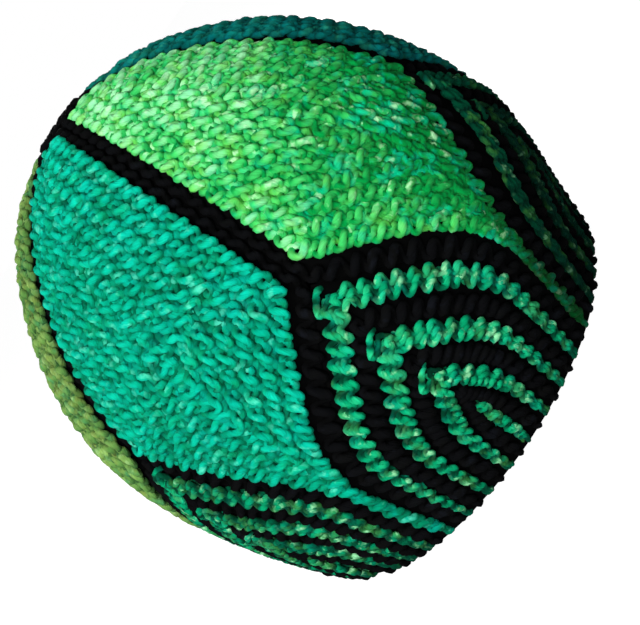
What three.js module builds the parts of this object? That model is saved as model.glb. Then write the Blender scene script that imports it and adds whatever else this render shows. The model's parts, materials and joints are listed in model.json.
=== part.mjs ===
// A hand-knitted garter-stitch beanie, in millimetres, +Z up, standing on its open edge.
// Six plain gores alternate with six striped chevron wedges, parted by near-black Y-shaped bands.
// Every piece is a wall of knitted fabric: ridged outside, smooth inside, open at the bottom.

import * as THREE from "three";
import { mergeVertices } from "three/addons/utils/BufferGeometryUtils.js";

// Outer form, a dome of revolution
const RIM_RADIUS = 90;
const BELLY_RADIUS = 105;
const BELLY_HEIGHT = 67;
const CROWN_HEIGHT = 194;
const SWELL_POWER = 1.5;

// Knitted fabric
const WALL = 5.5;
const RIDGE_PITCH = 6.3;
const RIDGE_DEPTH = 1.0;
const PIECE_GAP = 0.4;

// Gores, bands and wedges
const SECTORS = 6;
const HALF_SECTOR = Math.PI / SECTORS;
const STEM_HALF_WIDTH_LOW = 4.3;
const STEM_HALF_WIDTH_TOP = 3.2;
const CROWN_GATHER_RADIUS = 13;
const RIM_SETTLE = 20;

// Chevron levels in a half wedge: 0 is the middle of a gore's tail, 8 the middle of the wedge
const LEVELS = 8;
const BAND_OUTER_LEVEL = 0.5;
const BAND_INNER_LEVEL = 1.5;
const APEX_AT_LEVEL_0 = 120;
const APEX_STEP = 11;
const SHOULDER_SHARE = 0.6;
const LEVEL_GAP = 0.03;

// Facets
const STEM_ROWS = 6;
const LEG_ROWS = 10;
const CROWN_SIDES = 18;
const CROWN_RINGS = 3;
const GORE_INSIDE_STRIDE = 4;
const WEDGE_INSIDE_STRIDE = 2;
const BAND_INSIDE_STRIDE = 2;
const PROFILE_STEPS = 400;
const SLOPE_STEP = 0.5;
const MERGE_TOLERANCE = 1e-4;

// Yarn colours, one gore after another round the head
const GORES = [
  { name: "gore_1", yarn: "leaf green", colour: 0x5fb85a },
  { name: "gore_2", yarn: "sea teal", colour: 0x1f8f84 },
  { name: "gore_3", yarn: "moss olive", colour: 0x6f8f3a },
  { name: "gore_4", yarn: "jade", colour: 0x2f9f6c },
  { name: "gore_5", yarn: "leaf green", colour: 0x5fb85a },
  { name: "gore_6", yarn: "deep teal", colour: 0x177a7a },
];
const BAND_YARN = { yarn: "near-black", colour: 0x0b0d10 };
const STRIPE_YARN = { yarn: "striped green", colour: 0x1f9a6a };
const WOOL_ROUGHNESS = 0.95;

// The meridian as a table of arc length from the rim, radius and height
function traceMeridian() {
  const rows = [];
  const lowerSteps = Math.round(PROFILE_STEPS / 3);
  for (let i = 0; i < lowerSteps; i += 1) {
    const height = (BELLY_HEIGHT * i) / lowerSteps;
    const tuck = Math.pow(1 - height / BELLY_HEIGHT, SWELL_POWER);
    rows.push({ radius: BELLY_RADIUS - (BELLY_RADIUS - RIM_RADIUS) * tuck, height });
  }
  const upperSteps = PROFILE_STEPS - lowerSteps;
  for (let i = 0; i <= upperSteps; i += 1) {
    const angle = (Math.PI / 2) * (i / upperSteps);
    rows.push({
      radius: BELLY_RADIUS * Math.cos(angle),
      height: BELLY_HEIGHT + (CROWN_HEIGHT - BELLY_HEIGHT) * Math.sin(angle),
    });
  }
  let arc = 0;
  rows.forEach((row, i) => {
    if (i > 0) {
      arc += Math.hypot(row.radius - rows[i - 1].radius, row.height - rows[i - 1].height);
    }
    row.arc = arc;
  });
  return rows;
}

const MERIDIAN = traceMeridian();

// Radius, height and outward direction of the meridian at an arc length from the rim
function meridianAt(arc) {
  let high = MERIDIAN.findIndex((row) => row.arc >= arc);
  if (high === -1) {
    high = MERIDIAN.length - 1;
  }
  high = Math.max(high, 1);
  const a = MERIDIAN[high - 1];
  const b = MERIDIAN[high];
  const t = (arc - a.arc) / (b.arc - a.arc);
  const span = b.arc - a.arc;
  // Near the rim the outward direction levels out, so the open edge is cut flat
  const settle = THREE.MathUtils.smoothstep(arc, 0, RIM_SETTLE);
  const outward = new THREE.Vector2((b.height - a.height) / span, (-(b.radius - a.radius) / span) * settle);
  outward.normalize();
  return {
    radius: THREE.MathUtils.lerp(a.radius, b.radius, t),
    height: THREE.MathUtils.lerp(a.height, b.height, t),
    outward,
  };
}

// A point of the fabric: arc from the rim, longitude, and height above the ridge tops
function fabricPoint(arc, longitude, lift) {
  const m = meridianAt(arc);
  const radius = m.radius + m.outward.x * lift;
  return new THREE.Vector3(
    radius * Math.sin(longitude),
    -radius * Math.cos(longitude),
    m.height + m.outward.y * lift,
  );
}

// Arc length from the rim at which the dome has narrowed to a radius
function arcAtRadius(radius) {
  return MERIDIAN.find((row) => row.height > BELLY_HEIGHT && row.radius <= radius).arc;
}

const CROWN_ARC = arcAtRadius(CROWN_GATHER_RADIUS);

// Arc length from the rim to the tip of a chevron
function apexArc(level) {
  return APEX_AT_LEVEL_0 - APEX_STEP * level;
}

// Longitude of a chevron arm from the middle of its wedge, negative where its line runs on past the tip
function armLongitude(level, arc) {
  const apex = apexArc(level);
  const run = THREE.MathUtils.clamp((apex - arc) / (SHOULDER_SHARE * apex), -1, 1);
  return HALF_SECTOR * (1 - level / LEVELS) * Math.sin((Math.PI / 2) * run);
}

const TIP_ARC = apexArc(BAND_OUTER_LEVEL);

// Longitude of the edge of a band's stem
function stemLongitude(arc) {
  const rise = THREE.MathUtils.clamp((arc - TIP_ARC) / (CROWN_ARC - TIP_ARC), 0, 1);
  const half = THREE.MathUtils.lerp(STEM_HALF_WIDTH_LOW, STEM_HALF_WIDTH_TOP, rise);
  return half / meridianAt(arc).radius;
}

// Cosine of the angle between a band's leg and the meridian
function legCosine(arc) {
  const below = armLongitude(BAND_OUTER_LEVEL, arc - SLOPE_STEP);
  const above = armLongitude(BAND_OUTER_LEVEL, arc + SLOPE_STEP);
  const slope = ((below - above) * meridianAt(arc).radius) / (2 * SLOPE_STEP);
  return 1 / Math.hypot(1, slope);
}

// Longitude at a distance into the gore from the edge of its band
function goreLongitude(arc, distance) {
  const radius = meridianAt(arc).radius;
  const besideStem = stemLongitude(arc) + distance / radius;
  const besideLeg = armLongitude(BAND_OUTER_LEVEL, arc) + distance / (radius * legCosine(arc));
  return Math.max(besideStem, besideLeg);
}

// Distance from the edge of the band to the middle of the gore
function goreHalfWidth(arc) {
  const radius = meridianAt(arc).radius;
  const besideStem = (HALF_SECTOR - stemLongitude(arc)) * radius;
  const besideLeg = (HALF_SECTOR - armLongitude(BAND_OUTER_LEVEL, arc)) * radius * legCosine(arc);
  return Math.min(besideStem, besideLeg);
}

// Ridge tops at half pitches, furrows between them
function ridgeLift(distance) {
  const phase = distance / RIDGE_PITCH - Math.floor(distance / RIDGE_PITCH);
  return -RIDGE_DEPTH * Math.abs(1 - 2 * phase);
}

// Shares of each leg's run from its tip to the rim
const LEG_SHARES = Array.from({ length: LEG_ROWS + 1 }, (_, i) => i / LEG_ROWS);

// Arc stations down a stem, from the crown gather to the tip of the wedge
const STEM_ARCS = Array.from({ length: STEM_ROWS + 1 }, (_, i) =>
  THREE.MathUtils.lerp(CROWN_ARC, TIP_ARC, i / STEM_ROWS),
);

// Triangles of a piece, gathered as it is built
class Fabric {
  constructor() {
    this.positions = [];
  }

  triangle(a, b, c) {
    this.positions.push(...a.toArray(), ...b.toArray(), ...c.toArray());
  }

  quad(a, b, c, d) {
    this.triangle(a, b, c);
    this.triangle(a, c, d);
  }

  // A grid of points, rows down the meridian and columns with rising longitude, facing out
  sheet(rows) {
    for (let i = 1; i < rows.length; i += 1) {
      for (let j = 1; j < rows[i].length; j += 1) {
        this.quad(rows[i][j - 1], rows[i][j], rows[i - 1][j], rows[i - 1][j - 1]);
      }
    }
  }

  // The wall between an outer edge and an inner edge that has fewer points
  edge(outer, inner) {
    const share = (outer.length - 1) / (inner.length - 1);
    for (let j = 1; j < inner.length; j += 1) {
      for (let k = share * (j - 1); k < share * j; k += 1) {
        this.triangle(outer[k], inner[j - 1], outer[k + 1]);
      }
      this.triangle(outer[share * j], inner[j - 1], inner[j]);
    }
  }

  // Welded geometry with the triangles that closed up at a point or a line left out
  geometry() {
    const loose = new THREE.BufferGeometry();
    loose.setAttribute("position", new THREE.Float32BufferAttribute(this.positions, 3));
    const welded = mergeVertices(loose, MERGE_TOLERANCE);
    const index = welded.getIndex().array;
    const kept = [];
    for (let i = 0; i < index.length; i += 3) {
      const [a, b, c] = [index[i], index[i + 1], index[i + 2]];
      if (a !== b && b !== c && c !== a) {
        kept.push(a, b, c);
      }
    }
    welded.setIndex(kept);
    welded.computeVertexNormals();
    return welded;
  }
}

// Columns reversed, to turn a sheet round
function reversed(rows) {
  return rows.map((row) => [...row].reverse());
}

// First column of a grid
function leftEdge(rows) {
  return rows.map((row) => row[0]);
}

// Last column of a grid
function rightEdge(rows) {
  return rows.map((row) => row[row.length - 1]);
}

// Every few columns of a grid, for the smooth inside of the fabric
function thinned(rows, stride) {
  return rows.map((row) => row.filter((_, j) => j % stride === 0));
}

// A grid of arc, longitude and lift turned into points, seen from a sector's middle longitude
function fabricRows(spec, middle, lift) {
  return spec.map((row) => row.map((p) => fabricPoint(p.arc, middle + p.longitude, lift ?? p.lift)));
}

// A wall from a grid: outside, inside and the edges that are open
function wallFromGrid(spec, middle, stride, openTop) {
  const fabric = new Fabric();
  const outer = fabricRows(spec, middle);
  const inner = thinned(fabricRows(spec, middle, -WALL), stride);
  fabric.sheet(outer);
  fabric.sheet(reversed(inner));
  fabric.edge(outer[outer.length - 1], inner[inner.length - 1]);
  if (openTop) {
    fabric.edge(outer[0].slice().reverse(), inner[0].slice().reverse());
  }
  fabric.edge(leftEdge(outer), leftEdge(inner));
  fabric.edge(rightEdge(outer).reverse(), rightEdge(inner).reverse());
  return fabric.geometry();
}

// A plain gore: ridges run beside its bands and end on its middle line
function goreGeometry(middle) {
  const arcs = [...STEM_ARCS, ...LEG_SHARES.slice(1).map((share) => TIP_ARC * (1 - share))];
  const widest = Math.max(...arcs.map(goreHalfWidth));
  const half = GORE_INSIDE_STRIDE * Math.ceil(widest / (RIDGE_PITCH / 2) / GORE_INSIDE_STRIDE);
  const spec = arcs.map((arc) => {
    const reach = goreHalfWidth(arc);
    const side = Array.from({ length: half + 1 }, (_, k) => {
      const distance = k === half ? reach : Math.min(Math.max((k * RIDGE_PITCH) / 2, PIECE_GAP / 2), reach);
      const fromBand = Math.min(goreLongitude(arc, distance), HALF_SECTOR);
      return { arc, longitude: HALF_SECTOR - fromBand, lift: ridgeLift(distance) };
    });
    const left = side.map((p) => ({ ...p, longitude: -p.longitude }));
    const right = side.slice(0, half).reverse();
    return [...left, ...right];
  });
  return wallFromGrid(spec, middle, GORE_INSIDE_STRIDE, true);
}

// A striped wedge: chevron ridges nested from its outer stripe to its middle line
function wedgeGeometry(middle) {
  const ridges = LEVELS - BAND_INNER_LEVEL;
  const half = 2 * ridges;
  const spec = LEG_SHARES.map((share) => {
    const side = Array.from({ length: half + 1 }, (_, k) => {
      const level = k === 0 ? BAND_INNER_LEVEL + LEVEL_GAP : BAND_INNER_LEVEL + (ridges * k) / half;
      const arc = apexArc(level) * (1 - share);
      const top = Math.abs(level - Math.round(level));
      return { arc, longitude: armLongitude(level, arc), lift: -2 * RIDGE_DEPTH * top };
    });
    const left = side.map((p) => ({ ...p, longitude: -p.longitude }));
    const right = side.slice(0, half).reverse();
    return [...left, ...right];
  });
  return wallFromGrid(spec, middle, WEDGE_INSIDE_STRIDE, false);
}

// Longitude of a band's outer edge, just short of the gore
function bandEdge(arc) {
  const edge = Math.max(stemLongitude(arc), armLongitude(BAND_OUTER_LEVEL, arc));
  return edge - PIECE_GAP / 2 / (meridianAt(arc).radius * legCosine(arc));
}

// One side of a Y-shaped band: rows from the crown down the stem, then down a leg
function bandHalf() {
  const stem = STEM_ARCS.map((arc) => {
    const outer = bandEdge(arc);
    return [
      { arc, longitude: 0, lift: 0 },
      { arc, longitude: outer / 2, lift: 0 },
      { arc, longitude: outer, lift: -RIDGE_DEPTH },
    ];
  });
  const leg = LEG_SHARES.map((share) => {
    const outerArc = TIP_ARC * (1 - share);
    const innerLevel = BAND_INNER_LEVEL - LEVEL_GAP;
    const innerArc = apexArc(innerLevel) * (1 - share);
    const inner = armLongitude(innerLevel, innerArc);
    const outer = bandEdge(outerArc);
    return [
      { arc: innerArc, longitude: inner, lift: share === 0 ? 0 : -RIDGE_DEPTH },
      { arc: (innerArc + outerArc) / 2, longitude: (inner + outer) / 2, lift: 0 },
      { arc: outerArc, longitude: outer, lift: -RIDGE_DEPTH },
    ];
  });
  return { stem, leg };
}

// A near-black Y-shaped band: its stem divides two gores, its legs frame a wedge
function bandGeometry(middle) {
  const fabric = new Fabric();
  const { stem, leg } = bandHalf();
  const spec = [...stem, ...leg];
  for (const side of [1, -1]) {
    const turned = spec.map((row) => row.map((p) => ({ ...p, longitude: side * p.longitude })));
    const ordered = side === 1 ? turned : reversed(turned);
    const outer = fabricRows(ordered, middle);
    const inner = thinned(fabricRows(ordered, middle, -WALL), BAND_INSIDE_STRIDE);
    const last = outer.length - 1;
    fabric.sheet(outer);
    fabric.sheet(reversed(inner));
    fabric.edge(outer[0].slice().reverse(), inner[0].slice().reverse());
    fabric.edge(outer[last], inner[last]);
    // The stem's two halves share its middle line, so only the legs have an inner edge
    const outerLegs = outer.slice(stem.length);
    const innerLegs = inner.slice(stem.length);
    if (side === 1) {
      fabric.edge(rightEdge(outer).reverse(), rightEdge(inner).reverse());
      fabric.edge(leftEdge(outerLegs), leftEdge(innerLegs));
    } else {
      fabric.edge(leftEdge(outer), leftEdge(inner));
      fabric.edge(rightEdge(outerLegs).reverse(), rightEdge(innerLegs).reverse());
    }
  }
  return fabric.geometry();
}

// The drawn-in ring that closes the crown
function crownGatherGeometry() {
  const end = MERIDIAN[MERIDIAN.length - 1].arc;
  const start = CROWN_ARC + PIECE_GAP;
  const rings = Array.from({ length: CROWN_RINGS + 1 }, (_, i) =>
    meridianAt(THREE.MathUtils.lerp(start, end, i / CROWN_RINGS)),
  );
  const outside = rings.map((m) => new THREE.Vector2(m.radius, m.height));
  const inside = rings.map(
    (m) => new THREE.Vector2(m.radius - m.outward.x * WALL, m.height - m.outward.y * WALL),
  );
  outside[CROWN_RINGS].x = 0;
  inside[CROWN_RINGS].x = 0;
  const profile = [...inside.reverse(), ...outside];
  const lathe = new THREE.LatheGeometry(profile, CROWN_SIDES);
  lathe.rotateX(Math.PI / 2);
  lathe.deleteAttribute("normal");
  lathe.deleteAttribute("uv");
  const welded = mergeVertices(lathe, MERGE_TOLERANCE);
  welded.computeVertexNormals();
  return welded;
}

// A named piece in its own yarn
function knitted(name, geometry, { yarn, colour }) {
  const wool = new THREE.MeshStandardMaterial({ color: colour, roughness: WOOL_ROUGHNESS, metalness: 0 });
  wool.name = yarn;
  const mesh = new THREE.Mesh(geometry, wool);
  mesh.name = name;
  return mesh;
}

function beanie() {
  const group = new THREE.Group();
  group.name = "beanie";
  GORES.forEach((gore, i) => {
    const wedgeMiddle = -2 * HALF_SECTOR * i;
    group.add(knitted(gore.name, goreGeometry(wedgeMiddle + HALF_SECTOR), gore));
    group.add(knitted(`band_${i + 1}`, bandGeometry(wedgeMiddle), BAND_YARN));
    group.add(knitted(`wedge_${i + 1}`, wedgeGeometry(wedgeMiddle), STRIPE_YARN));
  });
  group.add(knitted("crown_gather", crownGatherGeometry(), BAND_YARN));
  return group;
}

export default beanie();
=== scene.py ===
"""Looks of a hand-knitted garter-stitch beanie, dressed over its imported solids.

Every visible row of stitches is one strand of yarn. The strands lie on the same dome and along the
same chevrons as the solids, and one Geometry Nodes tree turns their centre lines into looped yarn.
"""

import json
import logging
import math
from dataclasses import dataclass, field, replace
from enum import Enum, IntEnum
from functools import cached_property
from itertools import zip_longest
from typing import Optional, Union

import bmesh
import bpy
import numpy as np
from mathutils import Matrix, Vector

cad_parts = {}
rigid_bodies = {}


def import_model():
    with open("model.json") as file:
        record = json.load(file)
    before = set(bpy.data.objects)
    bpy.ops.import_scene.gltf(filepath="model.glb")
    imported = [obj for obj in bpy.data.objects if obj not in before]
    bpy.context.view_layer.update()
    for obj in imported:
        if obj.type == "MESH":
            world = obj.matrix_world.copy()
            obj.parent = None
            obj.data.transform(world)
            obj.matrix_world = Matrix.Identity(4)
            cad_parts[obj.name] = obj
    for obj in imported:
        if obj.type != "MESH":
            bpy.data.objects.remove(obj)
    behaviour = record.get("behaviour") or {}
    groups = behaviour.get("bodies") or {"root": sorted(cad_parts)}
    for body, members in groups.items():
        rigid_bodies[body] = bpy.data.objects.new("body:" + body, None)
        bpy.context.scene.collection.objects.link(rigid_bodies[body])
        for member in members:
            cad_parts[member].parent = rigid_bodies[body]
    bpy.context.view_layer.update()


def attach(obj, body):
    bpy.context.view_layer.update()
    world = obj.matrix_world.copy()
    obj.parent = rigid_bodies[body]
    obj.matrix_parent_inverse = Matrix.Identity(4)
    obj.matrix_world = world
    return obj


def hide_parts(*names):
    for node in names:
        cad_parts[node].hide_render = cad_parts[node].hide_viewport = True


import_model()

LOG = logging.getLogger("beanie")
MM = 0.001
ROOT = "root"
SEED_STEP = 7
PLAIN_TONE = 0.5
BOTH_SIDES = (-1.0, 1.0)
WHITE = (1.0, 1.0, 1.0)

Socket = bpy.types.NodeSocket
Material = bpy.types.Material
Object = bpy.types.Object
Feed = Union[Socket, float, int, str, tuple, None]
Colour = tuple[float, float, float]
ScreenColour = tuple[int, int, int]


class Face(Enum):
    """The two faces of the knitted wall."""

    OUTSIDE = "outside"
    INSIDE = "inside"


class Stripe(Enum):
    """The two yarns that take turns in a wedge."""

    GREEN = "green"
    BLACK = "black"


class Row(IntEnum):
    """Rows of the dome's outline."""

    ARC = 0
    RADIUS = 1
    HEIGHT = 2
    OUT_RADIUS = 3
    OUT_HEIGHT = 4


def unit(value: np.ndarray) -> np.ndarray:
    """Values held between 0 and 1."""
    return np.clip(value, 0.0, 1.0)


def turned(radius: np.ndarray, longitude: np.ndarray, height: np.ndarray) -> np.ndarray:
    """Points at given radii, angles round the axis and heights, a row for each."""
    rows = [radius * np.sin(longitude), -radius * np.cos(longitude), height]
    return np.stack(rows, axis=-1)


# Form of the hat


@dataclass(frozen=True)
class Slack:
    """Slight hollow of the soft wall, or a swelling where its depth is negative.

    Longitude is in degrees. Arc, the reaches round and up the wall, and depth are in millimetres.
    """

    longitude: float
    arc: float
    reach_round: float
    reach_up: float
    depth: float


@dataclass(frozen=True)
class HatForm:
    """Dome of revolution that the wall follows, the same as in the solids, in millimetres.

    The slacks are how the soft wall strays from it.
    """

    rim_radius: float = 90.0
    belly_radius: float = 105.0
    belly_height: float = 67.0
    crown_height: float = 194.0
    swell_power: float = 1.5
    wall: float = 5.5
    rim_settle: float = 20.0
    steps: int = 600
    # Longitude, arc, reach round, reach up and depth of each
    slacks: tuple[Slack, ...] = (
        Slack(-70.0, 75.0, 45.0, 42.0, 3.0),
        Slack(57.0, 17.0, 35.0, 22.0, 3.0),
        Slack(72.0, 70.0, 30.0, 25.0, -2.2),
        Slack(71.0, 185.0, 42.0, 40.0, 2.6),
        Slack(-76.0, 172.0, 40.0, 38.0, 1.5),
    )

    @cached_property
    def meridian(self) -> np.ndarray:
        """Outline from the rim to the pole.

        Returns:
            Arc length, radius, height, outward radius and outward height, in the order of Row.
        """
        low = np.linspace(0.0, self.belly_height, self.steps)
        swell = (1.0 - low / self.belly_height) ** self.swell_power
        low_radius = self.belly_radius - (self.belly_radius - self.rim_radius) * swell
        turn = np.linspace(0.0, math.pi / 2.0, self.steps)[1:]
        rise = self.crown_height - self.belly_height
        radius = np.concatenate([low_radius, self.belly_radius * np.cos(turn)])
        height = np.concatenate([low, self.belly_height + rise * np.sin(turn)])
        step = np.hypot(np.diff(radius), np.diff(height))
        arc = np.concatenate([[0.0], np.cumsum(step)])
        share = unit(arc / self.rim_settle)
        out_r = np.gradient(height, arc)
        out_z = -np.gradient(radius, arc) * share * share * (3.0 - 2.0 * share)
        size = np.hypot(out_r, out_z)
        return np.stack([arc, radius, height, out_r / size, out_z / size])

    @property
    def length(self) -> float:
        """Arc length from the rim to the pole."""
        return float(self.meridian[Row.ARC, -1])

    def read(self, row: Row, arc: np.ndarray) -> np.ndarray:
        """One row of the outline at the given arc lengths."""
        return np.interp(arc, self.meridian[Row.ARC], self.meridian[row])

    def radius(self, arc: np.ndarray) -> np.ndarray:
        """Radius of the dome at the given arc lengths."""
        return self.read(Row.RADIUS, arc)

    def outward(self, arc: np.ndarray, longitude: np.ndarray) -> np.ndarray:
        """Unit vectors out of the wall, a row for each place."""
        return turned(self.read(Row.OUT_RADIUS, arc), longitude, self.read(Row.OUT_HEIGHT, arc))

    def hollow(self, arc: np.ndarray, longitude: np.ndarray) -> np.ndarray:
        """How far the slack wall lies inside the dome.

        Args:
            arc: arc lengths from the rim.
            longitude: angles round the axis, 0 at the front.

        Returns:
            Depths in millimetres, negative where the wall stands out.
        """
        depth = np.zeros(np.broadcast(arc, longitude).shape)
        for slack in self.slacks:
            turn = longitude - math.radians(slack.longitude)
            turn = (turn + math.pi) % math.tau - math.pi
            across = turn * self.radius(arc) / slack.reach_round
            along = (arc - slack.arc) / slack.reach_up
            depth = depth + slack.depth * np.exp(-across * across - along * along)
        return depth

    def points(self, arc: np.ndarray, longitude: np.ndarray, lift: np.ndarray) -> np.ndarray:
        """Places on or under the slack dome.

        Args:
            arc: arc lengths from the rim.
            longitude: angles round the axis, 0 at the front.
            lift: heights over the wall's outside, negative inside it.

        Returns:
            Points in metres, a row for each place.
        """
        lift = lift - self.hollow(arc, longitude)
        radius = self.radius(arc) + self.read(Row.OUT_RADIUS, arc) * lift
        height = self.read(Row.HEIGHT, arc) + self.read(Row.OUT_HEIGHT, arc) * lift
        return turned(radius, longitude, height) * MM


@dataclass(frozen=True)
class ChevronPlan:
    """Lines that part gores, bands and wedges, the same as in the solids, in millimetres."""

    form: HatForm
    sectors: int = 6
    levels: int = 8
    band_level: float = 0.5
    apex_at_level_0: float = 120.0
    apex_step: float = 11.0
    shoulder_share: float = 0.6
    stem_half_low: float = 4.3
    stem_half_top: float = 3.2
    crown_gather_radius: float = 13.0
    ridge_pitch: float = 6.3
    slope_step: float = 0.5
    depth_rows: int = 420
    depth_columns: int = 90

    @property
    def half_sector(self) -> float:
        """Angle from a wedge's middle to a gore's middle."""
        return math.pi / self.sectors

    @property
    def tip_arc(self) -> float:
        """Arc length where a band's legs leave its stem."""
        return self.apex(self.band_level)

    @cached_property
    def crown_arc(self) -> float:
        """Arc length where the gores and stems meet the drawn-in crown."""
        return self.arc_at(self.crown_gather_radius)

    def arc_at(self, radius: float) -> float:
        """Finds a place on the upper dome.

        Args:
            radius: radius of the dome there.

        Returns:
            Arc length from the rim.
        """
        arc, around = self.form.meridian[Row.ARC], self.form.meridian[Row.RADIUS]
        upper = arc > self.tip_arc
        return float(np.interp(-radius, -around[upper], arc[upper]))

    def apex(self, level: float) -> float:
        """Arc length of the chevron's point at a level."""
        return self.apex_at_level_0 - self.apex_step * level

    def arm(self, level: float, arc: np.ndarray) -> np.ndarray:
        """Finds a chevron's arm.

        Args:
            level: number of the chevron, counted from the band.
            arc: arc lengths from the rim.

        Returns:
            Angles from the wedge's middle.
        """
        apex = self.apex(level)
        run = np.clip((apex - arc) / (self.shoulder_share * apex), -1.0, 1.0)
        return self.half_sector * (1.0 - level / self.levels) * np.sin(run * math.pi / 2.0)

    def arm_cosine(self, level: float, arc: np.ndarray) -> np.ndarray:
        """Finds how a chevron's arm slants.

        Args:
            level: number of the chevron, counted from the band.
            arc: arc lengths from the rim.

        Returns:
            Share of a step round the hat that lies square to the arm.
        """
        step = self.slope_step
        slope = (self.arm(level, arc - step) - self.arm(level, arc + step)) / (2.0 * step)
        return 1.0 / np.hypot(1.0, slope * self.form.radius(arc))

    def spacing(self, level: float, arc: np.ndarray) -> np.ndarray:
        """Distance between neighbouring chevrons, square to the arm."""
        gap = self.arm(level - 0.5, arc) - self.arm(level + 0.5, arc)
        return gap * self.form.radius(arc) * self.arm_cosine(level, arc)

    def stem(self, arc: np.ndarray) -> np.ndarray:
        """Finds a side of a band's stem.

        Args:
            arc: arc lengths from the rim.

        Returns:
            Half angles of the stem.
        """
        share = unit((arc - self.tip_arc) / (self.crown_arc - self.tip_arc))
        half = self.stem_half_low + (self.stem_half_top - self.stem_half_low) * share
        return half / self.form.radius(arc)

    @cached_property
    def gore_depths(self) -> tuple[np.ndarray, np.ndarray, np.ndarray]:
        """Distances from the gore's edge over one half of the gore.

        Returns:
            Arc lengths, then angles from the wedge's middle and distances with a row for each arc length.
        """
        arc = np.linspace(0.0, self.crown_arc, self.depth_rows)
        edge = np.maximum(self.stem(arc), self.arm(self.band_level, arc))
        line = self.form.points(arc, edge, np.zeros(len(arc))) / MM
        share = np.linspace(0.0, 1.0, self.depth_columns)
        angle = edge[:, None] + (self.half_sector - edge)[:, None] * share[None, :]
        depth = np.empty(angle.shape)
        for row, places in enumerate(angle):
            same = np.zeros(len(places))
            here = self.form.points(same + arc[row], places, same) / MM
            depth[row] = np.linalg.norm(here[:, None, :] - line[None, :, :], axis=2).min(axis=1)
        return arc, angle, np.maximum.accumulate(depth, axis=1)

    def gore_line(self, arc: np.ndarray, inset: float) -> np.ndarray:
        """Finds a line inside the gore's edge.

        Args:
            arc: arc lengths from the rim.
            inset: distance from the edge.

        Returns:
            Angles from the wedge's middle.
        """
        rows, angle, depth = self.gore_depths
        line = [np.interp(inset, far, places) for far, places in zip(depth, angle)]
        return np.interp(arc, rows, line)

    def gore_room(self, arc: np.ndarray) -> np.ndarray:
        """Distance from the gore's middle line to its edge."""
        rows, _, depth = self.gore_depths
        return np.interp(arc, rows, depth[:, -1])


@dataclass(frozen=True)
class Relief:
    """How far the soft wall stands out of the dome or sinks into it, in millimetres."""

    plan: ChevronPlan
    gore_edge: float = 0.8
    gore_middle: float = 1.9
    gore_reach: float = 24.0
    stem: float = -2.1
    leg: float = -0.8
    leg_reach: float = 45.0
    green_stripe: float = 0.6
    black_stripe: float = -0.5
    rim_start: float = 4.0
    rim_end: float = 22.0
    crown_reach: float = 30.0

    def at_rim(self, arc: np.ndarray) -> np.ndarray:
        """Share of the relief that is left near the rim."""
        return unit((arc - self.rim_start) / (self.rim_end - self.rim_start))

    def at_crown(self, arc: np.ndarray) -> np.ndarray:
        """Share of the relief that is left near the crown."""
        return unit((self.plan.crown_arc - arc) / self.crown_reach)

    def gore(self, arc: np.ndarray, inset: Union[float, np.ndarray]) -> np.ndarray:
        """Finds how far a gore stands out.

        Args:
            arc: arc lengths from the rim.
            inset: distance from the gore's edge.

        Returns:
            Heights over the dome.
        """
        share = unit(inset / self.gore_reach)
        rise = self.gore_edge + (self.gore_middle - self.gore_edge) * share * (2.0 - share)
        return rise * self.at_rim(arc) * self.at_crown(arc)

    def band(self, arc: np.ndarray) -> np.ndarray:
        """Finds how far a band's stem and legs stand out.

        Args:
            arc: arc lengths from the rim.

        Returns:
            Heights over the dome, negative where they sink.
        """
        down = unit((self.plan.tip_arc - arc) / self.leg_reach)
        sunk = self.stem + (self.leg - self.stem) * down
        return sunk * self.at_rim(arc) * self.at_crown(arc)


# Strands of yarn


@dataclass(frozen=True)
class Gauge:
    """Size of the stitches in a set of strands.

    Lengths, swing, dive, radius and fuzz are in millimetres. Rise, swell, ply depth, unevenness and
    shade are shares.
    """

    stitch_length: float = 6.7
    swing: float = 1.55
    dive: float = 1.2
    rise: float = 0.3
    swell: float = 0.14
    yarn_radius: float = 1.6
    ply_depth: float = 0.12
    twist_length: float = 6.0
    unevenness: float = 0.5
    fuzz: float = 0.3
    shade: float = 0.0
    points_per_stitch: int = 16
    yarn_sides: int = 8
    seed: int = 1


@dataclass(frozen=True)
class Fill:
    """Sunken strands between the loops of a ridge, and how far they lie under it."""

    gauge: Gauge
    drop: float


@dataclass
class Strand:
    """Centre line of one ridge of stitches.

    Arc, longitude and lift give its path. Turn is the angle of the stitches' faces, 0 outwards and a
    half turn inwards. Weave scales the stitches, tone picks their place in the yarn's colours, and
    count numbers them along the strand.
    """

    arc: np.ndarray
    longitude: np.ndarray
    lift: np.ndarray
    turn: np.ndarray
    weave: np.ndarray
    tone: np.ndarray
    closed: bool = False
    count: Optional[np.ndarray] = None

    @property
    def rows(self) -> list[np.ndarray]:
        """Everything that changes along the strand, apart from its count."""
        return [self.arc, self.longitude, self.lift, self.turn, self.weave, self.tone]

    def points(self, form: HatForm) -> np.ndarray:
        """Points of the path in metres."""
        return form.points(self.arc, self.longitude, self.lift)

    def faces(self, form: HatForm) -> np.ndarray:
        """Finds the way that the stitches face.

        Args:
            form: the dome that the strand lies on.

        Returns:
            Unit vectors, a row for each point.
        """
        outward = form.outward(self.arc, self.longitude)
        down = np.array([0.0, 0.0, -1.0])
        turn = self.turn[:, None]
        mixed = outward * np.cos(turn) + down * np.sin(turn)
        return mixed / np.linalg.norm(mixed, axis=1, keepdims=True)

    def sides(self, form: HatForm) -> np.ndarray:
        """Unit vectors across the ridge, in the plane of the wall."""
        across = np.cross(np.gradient(self.points(form), axis=0), self.faces(form))
        return across / np.linalg.norm(across, axis=1, keepdims=True)

    def lengths(self, form: HatForm) -> np.ndarray:
        """Length of the path up to each point, in metres."""
        steps = np.linalg.norm(np.diff(self.points(form), axis=0), axis=1)
        return np.concatenate([[0.0], np.cumsum(steps)])


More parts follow.
